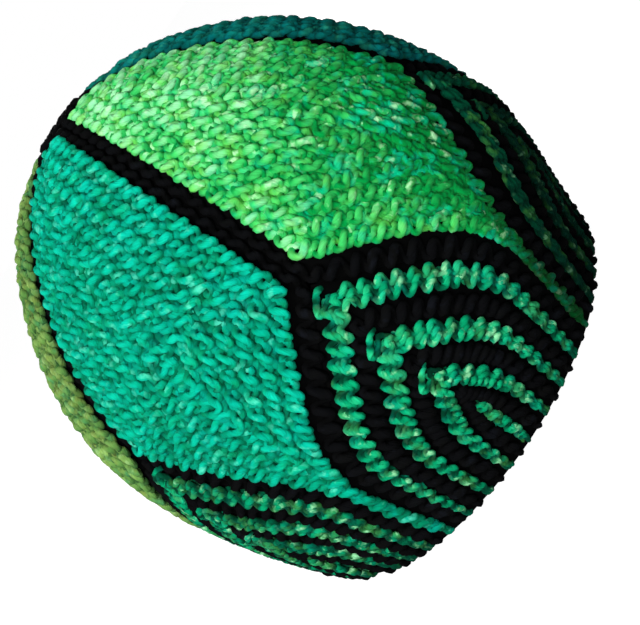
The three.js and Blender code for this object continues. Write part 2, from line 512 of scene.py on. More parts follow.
@dataclass(frozen=True)
class StrandPlan:
    """Turns lines on the plan into strands, with lengths in millimetres.

    The least square, in square metres, keeps a step of no length from being divided by.
    """

    plan: ChevronPlan
    yarn_radius: float = 1.6
    inside_radius: float = 1.35
    rim_clearance: float = 0.15
    rim_weave: float = 0.25
    wrap_steps: int = 7
    wrap_rise: float = 7.0
    tuck_length: float = 3.2
    tuck_depth: float = 3.0
    tuck_inside: float = 0.8
    fade_end: float = 9.0
    smooth_steps: int = 2
    smooth_spans: int = 3
    least_square: float = 1e-12

    @property
    def form(self) -> HatForm:
        """Dome under the plan."""
        return self.plan.form

    def lift(self, face: Face) -> float:
        """Height of a strand's centre line over the dome."""
        return -self.yarn_radius if face is Face.OUTSIDE else self.inside_radius - self.form.wall

    @property
    def wrap_radius(self) -> float:
        """Radius of the turn under the rim, at the strand's centre line."""
        return (self.lift(Face.OUTSIDE) - self.lift(Face.INSIDE)) / 2.0

    @property
    def wrap_arc(self) -> float:
        """Arc length where a strand starts to turn under the rim."""
        return self.yarn_radius + self.wrap_radius + self.rim_clearance

    def downwards(self, step: float) -> np.ndarray:
        """Arc lengths from the crown down to the turn under the rim."""
        return np.append(np.arange(self.plan.crown_arc, self.wrap_arc, -step), self.wrap_arc)

    def along(
        self,
        arc: np.ndarray,
        longitude: np.ndarray,
        face: Face,
        tone: np.ndarray,
        weave: Optional[np.ndarray] = None,
        closed: bool = False,
    ) -> Strand:
        """Strand that stays on one face of the wall.

        Args:
            arc: arc lengths from the rim.
            longitude: angles round the axis.
            face: the face that it lies on.
            tone: place in the yarn's colours at each point.
            weave: scale of the stitches at each point.
            closed: whether the last point joins the first.

        Returns:
            The strand.
        """
        count = len(arc)
        turn = 0.0 if face is Face.OUTSIDE else math.pi
        scale = np.ones(count) if weave is None else weave
        lift = np.full(count, self.lift(face))
        return Strand(arc, longitude, lift, np.full(count, turn), scale, tone, closed)

    def counted(self, strand: Strand, stitch_length: float) -> Strand:
        """Numbers a strand's stitches from its middle by their length."""
        length = strand.lengths(self.form)
        return replace(strand, count=(length - length[-1] / 2.0) / (stitch_length * MM))

    def in_columns(self, strands: list[Strand], stitch_length: float) -> list[Strand]:
        """Numbers neighbouring ridges so that their stitches stand in columns.

        Args:
            strands: ridges in order from the first one knitted.
            stitch_length: length of a stitch on the first ridge.

        Returns:
            The same ridges with their counts.
        """
        done = [self.counted(strands[0], stitch_length)]
        span = self.smooth_spans * self.smooth_steps
        weights = np.exp(-0.5 * (np.arange(-span, span + 1) / self.smooth_steps) ** 2)
        weights /= weights.sum()
        for strand in strands[1:]:
            last = done[-1]
            base = last.points(self.form)
            start, step = base[:-1], np.diff(base, axis=0)
            size = np.maximum((step * step).sum(axis=1), self.least_square)
            here = strand.points(self.form)
            gap = here[:, None, :] - start[None, :, :]
            share = unit((gap * step[None, :, :]).sum(axis=2) / size)
            miss = gap - share[:, :, None] * step[None, :, :]
            nearest = np.argmin((miss * miss).sum(axis=2), axis=1)
            along = share[np.arange(len(here)), nearest]
            count = last.count[nearest] + along * (last.count[nearest + 1] - last.count[nearest])
            padded = np.pad(np.unwrap(count, period=1.0), span, mode="reflect", reflect_type="odd")
            done.append(replace(strand, count=np.convolve(padded, weights, mode="valid")))
        return done

    def filler(self, strand: Strand, fill: Fill) -> Strand:
        """Sunken strand half a stitch further on, seen between the loops of the given one."""
        known = strand if strand.count is not None else self.counted(strand, fill.gauge.stitch_length)
        return replace(known, lift=known.lift - fill.drop, count=known.count + 0.5)

    def tucked(self, strand: Strand, at_start: bool, at_end: bool) -> Strand:
        """Takes a strand's ends down into the wall, so that no cut end shows.

        Args:
            strand: the strand.
            at_start: whether its first end goes down.
            at_end: whether its last end goes down.

        Returns:
            The same strand with a new lift and weave.
        """
        length = strand.lengths(self.form) / MM
        depth = np.where(np.cos(strand.turn) > 0.0, self.tuck_depth, -self.tuck_inside)
        lift, weave = strand.lift, strand.weave
        for gap, wanted in ((length, at_start), (length[-1] - length, at_end)):
            share = unit(1.0 - gap / self.tuck_length) * float(wanted)
            lift = lift - depth * share * share
            weave = weave * (1.0 - share)
        return replace(strand, lift=lift, weave=weave)

    def parted(self, strand: Strand) -> list[Strand]:
        """Cuts a strand in two and takes the new ends down into the wall.

        Args:
            strand: the strand.

        Returns:
            The two halves.
        """
        middle = len(strand.arc) // 2
        halves = []
        for part in (slice(None, middle), slice(middle, None)):
            half = Strand(*[row[part] for row in strand.rows])
            halves.append(self.tucked(half, at_start=bool(halves), at_end=not halves))
        return halves

    def with_wraps(self, strand: Strand, at_start: bool, at_end: bool) -> Strand:
        """Carries an outer strand's ends under the rim and up inside the wall.

        Args:
            strand: an outer strand whose ends stand at wrap_arc.
            at_start: whether its first end is carried round.
            at_end: whether its last end is carried round.

        Returns:
            The longer strand.
        """
        turn = np.linspace(0.0, math.pi, self.wrap_steps)[1:]
        middle = (self.lift(Face.OUTSIDE) + self.lift(Face.INSIDE)) / 2.0
        arc = self.wrap_arc - self.wrap_radius * np.sin(turn)
        lift = middle + self.wrap_radius * np.cos(turn)
        arc = np.append(arc, self.wrap_arc + self.wrap_rise)
        lift = np.append(lift, lift[-1])
        turn = np.append(turn, math.pi)
        share = unit((strand.arc - self.wrap_arc) / (self.fade_end - self.wrap_arc))
        weave = strand.weave * (self.rim_weave + (1.0 - self.rim_weave) * share)
        parts = [[row] for row in replace(strand, weave=weave).rows]
        same = np.ones(len(arc))
        for last, wanted in ((False, at_start), (True, at_end)):
            if not wanted:
                continue
            longitude, tone = (row[-1 if last else 0] for row in (strand.longitude, strand.tone))
            ends = [arc, same * longitude, lift, turn, same * self.rim_weave, same * tone]
            for part, extra in zip(parts, ends):
                part.insert(len(part) if last else 0, extra if last else extra[::-1])
        return Strand(*[np.concatenate(part) for part in parts])


# Node sketching


class NodeSketch:
    """Short way to add and link nodes in a tree."""

    def __init__(self, tree: bpy.types.NodeTree) -> None:
        """Takes the tree that the nodes go into."""
        self.tree = tree

    def add(self, kind: str, feeds: Optional[dict] = None, **settings: object) -> bpy.types.Node:
        """Adds a node.

        Args:
            kind: Blender's name of the node type.
            feeds: values or sockets by input name or index.
            settings: properties of the node.

        Returns:
            The node.
        """
        node = self.tree.nodes.new(kind)
        for name, value in settings.items():
            setattr(node, name, value)
        self.feed_all(node, feeds or {})
        return node

    def feed(self, socket: Socket, value: Feed) -> None:
        """Links a socket into an input, or sets the input's own value.

        Args:
            socket: the input.
            value: another node's output, a plain value, or nothing.
        """
        if isinstance(value, Socket):
            self.tree.links.new(value, socket)
        elif value is not None:
            socket.default_value = value

    def feed_all(self, node: bpy.types.Node, feeds: dict) -> None:
        """Feeds a node's inputs, by name or index."""
        for key, value in feeds.items():
            self.feed(node.inputs[key], value)

    def math(self, operation: str, *values: Feed, clamp: bool = False) -> Socket:
        """Adds a Math node and returns its result."""
        feeds = dict(enumerate(values))
        return self.add("ShaderNodeMath", feeds, operation=operation, use_clamp=clamp).outputs[0]

    def times(self, first: Feed, second: Feed, plus: Feed = None, clamp: bool = False) -> Socket:
        """Multiplies two values.

        Args:
            first: a value or a socket.
            second: a value or a socket.
            plus: what is added to the product, where it is given.
            clamp: whether the result is held between 0 and 1.

        Returns:
            The result.
        """
        if plus is None:
            return self.math("MULTIPLY", first, second, clamp=clamp)
        return self.math("MULTIPLY_ADD", first, second, plus, clamp=clamp)

    def less(self, first: Feed, second: Feed) -> Socket:
        """Difference of two values."""
        return self.math("SUBTRACT", first, second)

    def vector(self, operation: str, *values: Feed) -> Socket:
        """Adds a Vector Math node and returns its vector."""
        feeds = dict(enumerate(values))
        return self.add("ShaderNodeVectorMath", feeds, operation=operation).outputs[0]

    def scaled(self, vector: Feed, factor: Feed) -> Socket:
        """Adds a node that scales a vector and returns the result."""
        feeds = {0: vector, "Scale": factor}
        return self.add("ShaderNodeVectorMath", feeds, operation="SCALE").outputs[0]

    def xyz(self, x: Feed, y: Feed, z: Feed = None) -> Socket:
        """Vector of two or three values."""
        return self.add("ShaderNodeCombineXYZ", {"X": x, "Y": y, "Z": z}).outputs[0]

    def attribute(self, name: str, output: str = "Fac") -> Socket:
        """Value of a piece's own attribute, for a shader."""
        return self.add("ShaderNodeAttribute", attribute_name=name).outputs[output]

    def mix(self, factor: Feed, first: Feed, second: Feed, blend: str = "MIX") -> Socket:
        """Mixes two colours.

        Args:
            factor: share of the second colour.
            first: a colour.
            second: a colour.
            blend: Blender's name of the way they mix.

        Returns:
            The mixed colour.
        """
        node = self.add("ShaderNodeMix", data_type="RGBA", blend_type=blend)
        for identifier, value in (("Factor_Float", factor), ("A_Color", first), ("B_Color", second)):
            self.feed(next(s for s in node.inputs if s.identifier == identifier), value)
        return next(s for s in node.outputs if s.identifier == "Result_Color")


def field_name(socket_name: str) -> str:
    """Name of the dataclass field that fills a socket."""
    return socket_name.lower().replace(" ", "_")


def rgba(colour: Colour) -> tuple[float, float, float, float]:
    """Colour with full opacity."""
    return (*colour, 1.0)


def from_screen(colour: ScreenColour) -> Colour:
    """Linear colour for a screen colour with parts from 0 to 255."""
    parts = [value / 255.0 for value in colour]
    return tuple(p / 12.92 if p <= 0.04045 else ((p + 0.055) / 1.055) ** 2.4 for p in parts)


# Geometry Nodes tree of the looped yarn


class RidgeTree:
    """Builds the tree that turns centre lines into ridges of looped yarn."""

    NAME = "garter_ridge"

    # Inputs that a gauge fills, with the factor from its units to the tree's
    SIZES = (
        ("Stitch Length", MM),
        ("Swing", MM),
        ("Dive", MM),
        ("Rise", 1.0),
        ("Swell", 1.0),
        ("Yarn Radius", MM),
        ("Ply Depth", 1.0),
        ("Twist Length", MM),
        ("Unevenness", 1.0),
        ("Fuzz", MM),
        ("Shade", 1.0),
    )
    COUNTS = ("Points Per Stitch", "Yarn Sides", "Seed")

    # Places on the noise that keep strands, and what varies along them, apart
    STRAND_SHIFT = 17.31
    PLACE_SHIFT = 3.7
    LATE_NOISE = 3.3
    WIDE_NOISE = 91.7
    ROUGH_NOISE = 47.9
    THICK_NOISE = 5.1

    # How far the noise reaches, with depths in metres, and the shape of a loop
    WIDE_SHARE = 1.1
    ROUGH_DEPTH = 0.0012
    THICK_SHARE = 0.5
    SINK_POWER = 1.4
    END_THICKNESS = 0.7
    LUMP_SCALE = 700.0

    def __init__(self) -> None:
        """Builds the tree once."""
        self.tree = bpy.data.node_groups.new(self.NAME, "GeometryNodeTree")
        self.sketch = NodeSketch(self.tree)
        sockets = [("Ridges", "NodeSocketGeometry")]
        sockets += [(name, "NodeSocketFloat") for name, _ in self.SIZES]
        sockets += [(name, "NodeSocketInt") for name in self.COUNTS]
        sockets += [("Yarn", "NodeSocketMaterial")]
        face = self.tree.interface
        self.ids: dict[str, str] = {}
        for name, kind in sockets:
            self.ids[name] = face.new_socket(name, in_out="INPUT", socket_type=kind).identifier
        face.new_socket("Knit", in_out="OUTPUT", socket_type="NodeSocketGeometry")
        self.given = self.sketch.add("NodeGroupInput").outputs
        self._lay()

    def _named(self, name: str, kind: str = "FLOAT") -> Socket:
        """Field of a stored attribute."""
        node = self.sketch.add("GeometryNodeInputNamedAttribute", {"Name": name}, data_type=kind)
        return node.outputs["Attribute"]

    def _store(self, geometry: Feed, name: str, value: Feed, kind: str = "FLOAT") -> Socket:
        """Stores a field as an attribute.

        Args:
            geometry: the curves that it is stored on.
            name: name of the attribute.
            value: the field.
            kind: Blender's name of its type.

        Returns:
            The curves.
        """
        feeds = {"Geometry": geometry, "Name": name, "Value": value}
        node = self.sketch.add("GeometryNodeStoreNamedAttribute", feeds, data_type=kind)
        return node.outputs["Geometry"]

    def _noise(self, place: Feed, shift: float, strength: Feed) -> Socket:
        """Adds smooth noise along a strand.

        Args:
            place: place of a point on the noise.
            shift: number that parts it from other noise.
            strength: how strong it is.

        Returns:
            Values up to about half the strength either way.
        """
        sketch = self.sketch
        feeds = {"W": sketch.math("ADD", place, shift), "Scale": 1.0, "Detail": 1.0}
        noise = sketch.add("ShaderNodeTexNoise", feeds, noise_dimensions="1D")
        return sketch.times(sketch.less(noise.outputs["Fac"], 0.5), strength)

    def _lay(self) -> None:
        """Lays the nodes of the tree."""
        sketch, given = self.sketch, self.given
        curves = sketch.add("GeometryNodeMeshToCurve", {"Mesh": given["Ridges"]}).outputs[0]
        step = sketch.math("DIVIDE", given["Stitch Length"], given["Points Per Stitch"])
        feeds = {"Curve": curves, "Length": step}
        curves = sketch.add("GeometryNodeResampleCurve", feeds, mode="LENGTH").outputs[0]

        # A number of its own for each strand and each stitch
        owner = sketch.add("GeometryNodeCurveOfPoint").outputs["Curve Index"]
        identity = sketch.times(owner, self.STRAND_SHIFT, plus=given["Seed"])
        distance = sketch.add("GeometryNodeSplineParameter").outputs["Length"]
        curves = self._store(curves, "along", distance)
        count = self._named("count")
        place = sketch.times(identity, self.PLACE_SHIFT, plus=count)
        hashed = sketch.math("ADD", sketch.math("FLOOR", count), identity)
        chance = sketch.add("ShaderNodeTexWhiteNoise", {"W": hashed}, noise_dimensions="1D")
        curves = self._store(curves, "stitch", chance.outputs["Value"])
        late = self._noise(place, self.LATE_NOISE, given["Unevenness"])
        phase = sketch.times(sketch.math("ADD", count, late), math.tau)

        knit = self._plied(self._looped(curves, place, phase), place, phase)
        lump = sketch.add("ShaderNodeTexNoise", {"Scale": self.LUMP_SCALE, "Detail": 1.0}).outputs["Fac"]
        lump = sketch.times(sketch.less(lump, 0.5), given["Fuzz"])
        normal = sketch.add("GeometryNodeInputNormal").outputs[0]
        feeds = {"Geometry": knit, "Offset": sketch.scaled(normal, lump)}
        knit = sketch.add("GeometryNodeSetPosition", feeds).outputs[0]

        # The twist shears the quads, and this diagonal keeps the yarn round
        split = {"quad_method": "FIXED_ALTERNATE"}
        knit = sketch.add("GeometryNodeTriangulate", {"Mesh": knit}, **split).outputs[0]
        knit = sketch.add("GeometryNodeSetShadeSmooth", {"Geometry": knit}).outputs[0]
        knit = sketch.add("GeometryNodeRealizeInstances", {"Geometry": knit}).outputs[0]
        feeds = {"Geometry": knit, "Material": given["Yarn"]}
        knit = sketch.add("GeometryNodeSetMaterial", feeds).outputs[0]
        sketch.add("NodeGroupOutput", {0: knit})

    def _looped(self, curves: Feed, place: Feed, phase: Feed) -> Socket:
        """Swings the strands from side to side and takes them down at every second crossing.

        Args:
            curves: the even strands.
            place: place of a point on the noise.
            phase: angle of a point in its stitch.

        Returns:
            The looped and twisted strands.
        """
        sketch, given = self.sketch, self.given
        weave = self._named("weave")
        uneven = given["Unevenness"]
        wider = sketch.times(self._noise(place, self.WIDE_NOISE, uneven), self.WIDE_SHARE, plus=1.0)
        swing = sketch.times(sketch.times(given["Swing"], weave), wider)
        aside = sketch.times(swing, sketch.math("SINE", phase))
        wave = sketch.math("COSINE", phase)
        sink = sketch.math("POWER", sketch.math("MAXIMUM", wave, 0.0), self.SINK_POWER)
        crest = sketch.math("MAXIMUM", sketch.times(wave, -1.0), 0.0)
        # The stored sink paints shade at the foot of each loop, and the gauge's shade paints it over
        # sunken strands
        curves = self._store(curves, "sink", sketch.math("MAXIMUM", sink, given["Shade"]))
        # The stored crest paints a highlight on the tops of the loops
        curves = self._store(curves, "crest", crest)
        fade = sketch.math("MINIMUM", weave, 1.0)
        lower = sketch.less(sink, sketch.times(crest, given["Rise"]))
        deep = sketch.times(sketch.times(given["Dive"], fade), lower)
        rough = self._noise(place, self.ROUGH_NOISE, sketch.times(uneven, self.ROUGH_DEPTH))
        drop = sketch.math("ADD", deep, sketch.times(rough, fade))
        ways = [self._named(key, "FLOAT_VECTOR") for key in ("side", "face")]
        side, face = (sketch.vector("NORMALIZE", way) for way in ways)
        inwards = sketch.scaled(face, sketch.times(drop, -1.0))
        feeds = {"Geometry": curves, "Offset": sketch.vector("ADD", sketch.scaled(side, aside), inwards)}
        moved = sketch.add("GeometryNodeSetPosition", feeds).outputs[0]
        turns = sketch.math("DIVIDE", self._named("along"), given["Twist Length"])
        feeds = {"Curve": moved, "Tilt": sketch.times(turns, math.tau)}
        return sketch.add("GeometryNodeSetCurveTilt", feeds).outputs[0]

    def _plied(self, curves: Feed, place: Feed, phase: Feed) -> Socket:
        """Gives the strands the body of two plies, with the angle round them kept for the finish.

        Args:
            curves: the looped strands.
            place: place of a point on the noise.
            phase: angle of a point in its stitch.

        Returns:
            Closed tubes.
        """
        sketch, given = self.sketch, self.given
        feeds = {"Resolution": given["Yarn Sides"], "Radius": given["Yarn Radius"]}
        ring = sketch.add("GeometryNodeCurvePrimitiveCircle", feeds).outputs["Curve"]
        factor = sketch.add("GeometryNodeSplineParameter").outputs["Factor"]
        angle = sketch.times(factor, math.tau)
        around = sketch.xyz(sketch.math("COSINE", angle), sketch.math("SINE", angle))
        ring = self._store(ring, "around", around, "FLOAT_VECTOR")
        lobe = sketch.math("COSINE", sketch.times(angle, 2.0))
        stretch = sketch.times(lobe, given["Ply Depth"], plus=1.0)
        position = sketch.add("GeometryNodeInputPosition").outputs[0]
        feeds = {"Geometry": ring, "Position": sketch.scaled(position, stretch)}
        ring = sketch.add("GeometryNodeSetPosition", feeds).outputs[0]
        fade = sketch.math("MINIMUM", self._named("weave"), 1.0)
        thick = self._noise(place, self.THICK_NOISE, given["Unevenness"])
        thick = sketch.times(thick, self.THICK_SHARE, plus=1.0)
        thick = sketch.times(thick, sketch.times(fade, 1.0 - self.END_THICKNESS, plus=self.END_THICKNESS))
        swell = sketch.times(sketch.math("COSINE", phase), given["Swell"])
        thick = sketch.times(thick, sketch.less(1.0, swell))
        feeds = {"Curve": curves, "Profile Curve": ring, "Scale": thick, "Fill Caps": True}
        return sketch.add("GeometryNodeCurveToMesh", feeds).outputs[0]

    def knit(
        self,
        name: str,
        strands: list[Strand],
        form: HatForm,
        gauge: Gauge,
        yarn: Material,
    ) -> Object:
        """Knits strands into one plain mesh.

        Args:
            name: name of the new object.
            strands: centre lines of the ridges.
            form: the dome that they lie on.
            gauge: size of the stitches.
            yarn: material of the yarn.

        Returns:
            The object, with no modifier left on it.
        """
        lines = bpy.data.objects.new(name, self._centre_lines(name, strands, form, gauge))
        bpy.context.scene.collection.objects.link(lines)
        modifier = lines.modifiers.new(self.NAME, "NODES")
        modifier.node_group = self.tree
        for key, scale in self.SIZES:
            modifier[self.ids[key]] = getattr(gauge, field_name(key)) * scale
        for key in self.COUNTS:
            modifier[self.ids[key]] = getattr(gauge, field_name(key))
        modifier[self.ids["Yarn"]] = yarn
        depsgraph = bpy.context.evaluated_depsgraph_get()
        mesh = bpy.data.meshes.new_from_object(lines.evaluated_get(depsgraph))
        lines.modifiers.clear()
        old = lines.data
        lines.data = mesh
        bpy.data.meshes.remove(old)
        mesh.name = name
        return lines

    @staticmethod
    def _centre_lines(name: str, strands: list[Strand], form: HatForm, gauge: Gauge) -> bpy.types.Mesh:
        """Mesh of edges along the strands, with the attributes that the tree reads.

        Args:
            name: name of the mesh.
            strands: centre lines of the ridges.
            form: the dome that they lie on.
            gauge: size of the stitches, for strands that aren't counted yet.

        Returns:
            The mesh.
        """
        edges = []
        counts = []
        start = 0
        for strand in strands:
            count = len(strand.arc)
            edges += [(start + i, start + i + 1) for i in range(count - 1)]
            if strand.closed:
                edges.append((start + count - 1, start))
            start += count
            length = strand.lengths(form) / (gauge.stitch_length * MM)
            counts.append(length if strand.count is None else strand.count)
        points = np.concatenate([strand.points(form) for strand in strands])
        mesh = bpy.data.meshes.new(name + "_lines")
        mesh.from_pydata(points.tolist(), edges, [])
        rows = (
            ("face", "FLOAT_VECTOR", "vector", [strand.faces(form) for strand in strands]),
            ("side", "FLOAT_VECTOR", "vector", [strand.sides(form) for strand in strands]),
            ("count", "FLOAT", "value", counts),
            ("weave", "FLOAT", "value", [strand.weave for strand in strands]),
            ("tone", "FLOAT", "value", [strand.tone for strand in strands]),
        )
        for key, kind, entry, values in rows:
            attribute = mesh.attributes.new(key, kind, "POINT")
            attribute.data.foreach_set(entry, np.concatenate(values).astype(np.float32).ravel())
        return mesh


# Shader groups shared by the yarns


class ShaderGroup:
    """Shader group with named inputs and outputs, built once."""

    NAME = ""
    COLOURS: tuple[str, ...] = ()
    NUMBERS: tuple[str, ...] = ()
    OUTPUTS: tuple[tuple[str, str], ...] = ()
    CLOUDY = {"Detail": 2.0, "Roughness": 0.6}

    def __init__(self) -> None:
        """Makes the sockets, lays the nodes and links the outputs."""
        self.tree = bpy.data.node_groups.new(self.NAME, "ShaderNodeTree")
        sockets = [(name, "INPUT", "NodeSocketColor") for name in self.COLOURS]
        sockets += [(name, "INPUT", "NodeSocketFloat") for name in self.NUMBERS]
        sockets += [(name, "OUTPUT", kind) for name, kind in self.OUTPUTS]
        for name, way, kind in sockets:
            self.tree.interface.new_socket(name, in_out=way, socket_type=kind)
        self.sketch = NodeSketch(self.tree)
        self.given = self.sketch.add("NodeGroupInput").outputs
        self.sketch.add("NodeGroupOutput", self.lay())

    def lay(self) -> dict[str, Socket]:
        """Lays the nodes and returns the sockets that feed the outputs."""
        raise NotImplementedError


class FibreGroup(ShaderGroup):
    """Wool fibres that run along the yarn and turn with its plies."""

    NAME = "wool_fibres"
    NUMBERS = ("Fineness", "Fibre Length", "Matt Low", "Matt High")
    OUTPUTS = (("Streak", "NodeSocketFloat"), ("Matt", "NodeSocketFloat"))

    def lay(self) -> dict[str, Socket]:
        """Lays the nodes.

        Returns:
            The streaks and how matt they are.
        """
        sketch, given = self.sketch, self.given
        along = sketch.math("DIVIDE", sketch.attribute("along"), given["Fibre Length"])
        around = sketch.add("ShaderNodeSeparateXYZ", {0: sketch.attribute("around", "Vector")}).outputs
        across = [sketch.times(around[axis], given["Fineness"]) for axis in ("X", "Y")]
        feeds = {"Vector": sketch.xyz(*across, along), "Scale": 1.0}
        streak = sketch.add("ShaderNodeTexNoise", feeds | self.CLOUDY).outputs["Fac"]
        span = sketch.less(given["Matt High"], given["Matt Low"])
        return {"Streak": streak, "Matt": sketch.times(streak, span, plus=given["Matt Low"])}


class HeatherAndPaintedLightGroup(ShaderGroup):
    """Uneven dye of hand-painted wool, with a painted highlight on the tops of the loops and painted
    shade at their feet and where the tone is low.
    """

    NAME = "heathered_wool_and_painted_light"
    COLOURS = ("Dark", "Body", "Light", "Fleck", "Cool", "Warm")
    SHARES = ("Spread", "Fleck Share", "Cool Share", "Warm Share", "Warm Bias", "Furrow")
    NUMBERS = SHARES + ("Streak",)
    OUTPUTS = (("Colour", "NodeSocketColor"),)

    # Fineness of the clouds of dye, for each metre
    PATCH_SCALE = 55.0
    RUN_SCALE = 150.0
    SPECK_SCALE = 260.0

    # How far the dye steps from stitch to stitch, the painted highlight on the tops of the loops and the
    # painted shade at their feet
    PATCH_JUMP = 0.35
    RUN_JUMP = 0.15
    SPECK_JUMP = 0.25
    HIGHLIGHT_MIDDLE = 0.4
    HIGHLIGHT_SHARE = 0.45
    SINK_SHADE_SHARE = -0.3

    # The other dyes, with their place on the noise and the way that the tone's bias counts
    RUNS = (("Cool", (0.0, 0.0, 0.0), "SUBTRACT"), ("Warm", (3.1, 1.7, 5.3), "ADD"))

    # Edges of the runs and flecks, and how far the flecks keep to the tops of the loops as a painted
    # highlight
    RUN_EDGE = 6.0
    SPECK_EDGE = 8.0
    SPECK_LEVEL = 0.8
    SPECK_HIGHLIGHT = 0.7
    SPECK_FOOT = 0.1

    # Light and dark that the fibres give, and painted shade that a tone below zero gives
    STREAK_SHARE = 0.8
    STREAK_LEAST = 0.6
    TONE_SHADE_SHARE = 0.8
    TONE_SHADE_LEAST = 0.18

    def _cloud(self, place: Feed, scale: float) -> Socket:
        """Cloudy noise of a given fineness."""
        feeds = {"Vector": place, "Scale": scale}
        return self.sketch.add("ShaderNodeTexNoise", feeds | self.CLOUDY).outputs["Fac"]

    def lay(self) -> dict[str, Socket]:
        """Lays the nodes.

        Returns:
            The colour.
        """
        sketch, given = self.sketch, self.given
        tone, stitch, sink, crest = map(sketch.attribute, ("tone", "stitch", "sink", "crest"))
        place = sketch.add("ShaderNodeTexCoord").outputs["Object"]
        chance = sketch.less(stitch, 0.5)

        # Long patches of dye, a step from stitch to stitch, a painted highlight on the tops of the loops
        # and painted shade at their feet
        patch = sketch.less(self._cloud(place, self.PATCH_SCALE), 0.5)
        drift = sketch.math("ADD", patch, sketch.times(chance, self.PATCH_JUMP))
        level = sketch.math("ADD", tone, sketch.times(drift, given["Spread"]))
        level = sketch.times(sketch.less(crest, self.HIGHLIGHT_MIDDLE), self.HIGHLIGHT_SHARE, plus=level)
        level = sketch.times(sink, self.SINK_SHADE_SHARE, plus=level)
        low = sketch.times(level, 2.0, clamp=True)
        high = sketch.times(level, 2.0, plus=-1.0, clamp=True)
        colour = sketch.mix(low, given["Dark"], given["Body"])
        colour = sketch.mix(high, colour, given["Light"])

        # Short patches where two other dyes ran in
        bias = sketch.times(sketch.less(tone, 0.5), given["Warm Bias"])
        for name, shift, operation in self.RUNS:
            ran = self._cloud(sketch.vector("ADD", place, shift), self.RUN_SCALE)
            ran = sketch.times(chance, self.RUN_JUMP, plus=ran)
            ran = sketch.times(sketch.less(ran, 0.5), self.RUN_EDGE, clamp=True)
            share = sketch.math(operation, given[name + " Share"], bias, clamp=True)
            colour = sketch.mix(sketch.times(ran, share), colour, given[name])

        # Flecks of a paler dye, held mostly to the tops of the loops as a painted highlight
        speck = sketch.times(stitch, self.SPECK_JUMP, plus=self._cloud(place, self.SPECK_SCALE))
        over = sketch.less(speck, sketch.less(self.SPECK_LEVEL, given["Fleck Share"]))
        caught = sketch.times(over, self.SPECK_EDGE, clamp=True)
        caught = sketch.times(caught, sketch.times(crest, self.SPECK_HIGHLIGHT, plus=self.SPECK_FOOT))
        colour = sketch.mix(caught, colour, given["Fleck"])

        # Fibres, and the painted shade at the foot of a loop
        light = sketch.times(given["Streak"], self.STREAK_SHARE, plus=self.STREAK_LEAST)
        shade = sketch.times(sketch.times(sink, given["Furrow"]), -1.0)
        light = sketch.times(light, sketch.math("ADD", shade, 1.0))
        # Tones below zero dim the colour as painted shade
        tone_shade = sketch.times(tone, self.TONE_SHADE_SHARE, plus=1.0, clamp=True)
        light = sketch.times(light, sketch.math("MAXIMUM", tone_shade, self.TONE_SHADE_LEAST))
        return {"Colour": sketch.mix(1.0, colour, light, blend="MULTIPLY")}


class PlyGroup(ShaderGroup):
    """Groove between the plies and the loose fibres over them."""

    NAME = "ply_twist"
    NUMBERS = ("Groove Share", "Fibre Share", "Streak")
    OUTPUTS = (("Height", "NodeSocketFloat"),)

    def lay(self) -> dict[str, Socket]:
        """Lays the nodes.

        Returns:
            A height, high on the two plies and low between them.
        """
        sketch, given = self.sketch, self.given
        around = sketch.add("ShaderNodeSeparateXYZ", {0: sketch.attribute("around", "Vector")}).outputs
        first, second = (sketch.math("POWER", around[axis], 2.0) for axis in ("X", "Y"))
        groove = sketch.times(sketch.less(first, second), given["Groove Share"])
        return {"Height": sketch.times(given["Streak"], given["Fibre Share"], plus=groove)}


@dataclass(frozen=True)
class YarnFinish:
    """Look of one yarn, with its dyes as screen colours, the light and dark ones also standing in for
    painted highlight and painted shade, and its lengths in millimetres.
    """

    slot: str
    dark: ScreenColour
    body: ScreenColour
    light: ScreenColour
    fleck: ScreenColour
    cool: ScreenColour
    warm: ScreenColour
    cool_share: float = 0.5
    warm_share: float = 0.5
    warm_bias: float = 0.0
    fleck_share: float = 0.07
    spread: float = 0.9
    furrow: float = 0.5
    matt_low: float = 0.8
    matt_high: float = 1.0
    sheen: float = 0.05
    sheen_roughness: float = 0.5
    sheen_tint: Colour = (0.1, 1.0, 0.75)
    specular: float = 0.03
    groove_share: float = 0.25
    fibre_share: float = 1.0
    fineness: float = 4.0
    fibre_length: float = 2.5
    bump_strength: float = 0.8
    bump_depth: float = 0.8

    def material(self, fibres: FibreGroup, heather_and_light: HeatherAndPaintedLightGroup, ply: PlyGroup) -> Material:
        """Builds the material.

        Args:
            fibres: group that gives the streaks of the wool.
            heather_and_light: group that gives the colour, dye with painted highlight and shade.
            ply: group that gives the relief.

        Returns:
            The material.
        """
        material = bpy.data.materials.new(self.slot)
        material.use_nodes = True
        sketch = NodeSketch(material.node_tree)
        feeds = {"Fineness": self.fineness, "Fibre Length": self.fibre_length * MM}
        feeds |= {"Matt Low": self.matt_low, "Matt High": self.matt_high}
        wool = sketch.add("ShaderNodeGroup", feeds, node_tree=fibres.tree).outputs
        feeds = {name: rgba(from_screen(getattr(self, field_name(name)))) for name in heather_and_light.COLOURS}
        feeds |= {name: getattr(self, field_name(name)) for name in heather_and_light.SHARES}
        feeds["Streak"] = wool["Streak"]
        dye_and_light = sketch.add("ShaderNodeGroup", feeds, node_tree=heather_and_light.tree).outputs
        feeds = {"Groove Share": self.groove_share, "Fibre Share": self.fibre_share}
        feeds["Streak"] = wool["Streak"]
        twist = sketch.add("ShaderNodeGroup", feeds, node_tree=ply.tree).outputs
        feeds = {"Strength": self.bump_strength, "Distance": self.bump_depth * MM}
        feeds["Height"] = twist["Height"]
        bump = sketch.add("ShaderNodeBump", feeds).outputs
        feeds = {
            "Base Color": dye_and_light["Colour"],
            "Roughness": wool["Matt"],
            "Normal": bump["Normal"],
            "Sheen Weight": self.sheen,
            "Sheen Roughness": self.sheen_roughness,
            "Sheen Tint": rgba(self.sheen_tint),
            "Specular IOR Level": self.specular,
        }
        sketch.feed_all(material.node_tree.nodes["Principled BSDF"], feeds)
        return material


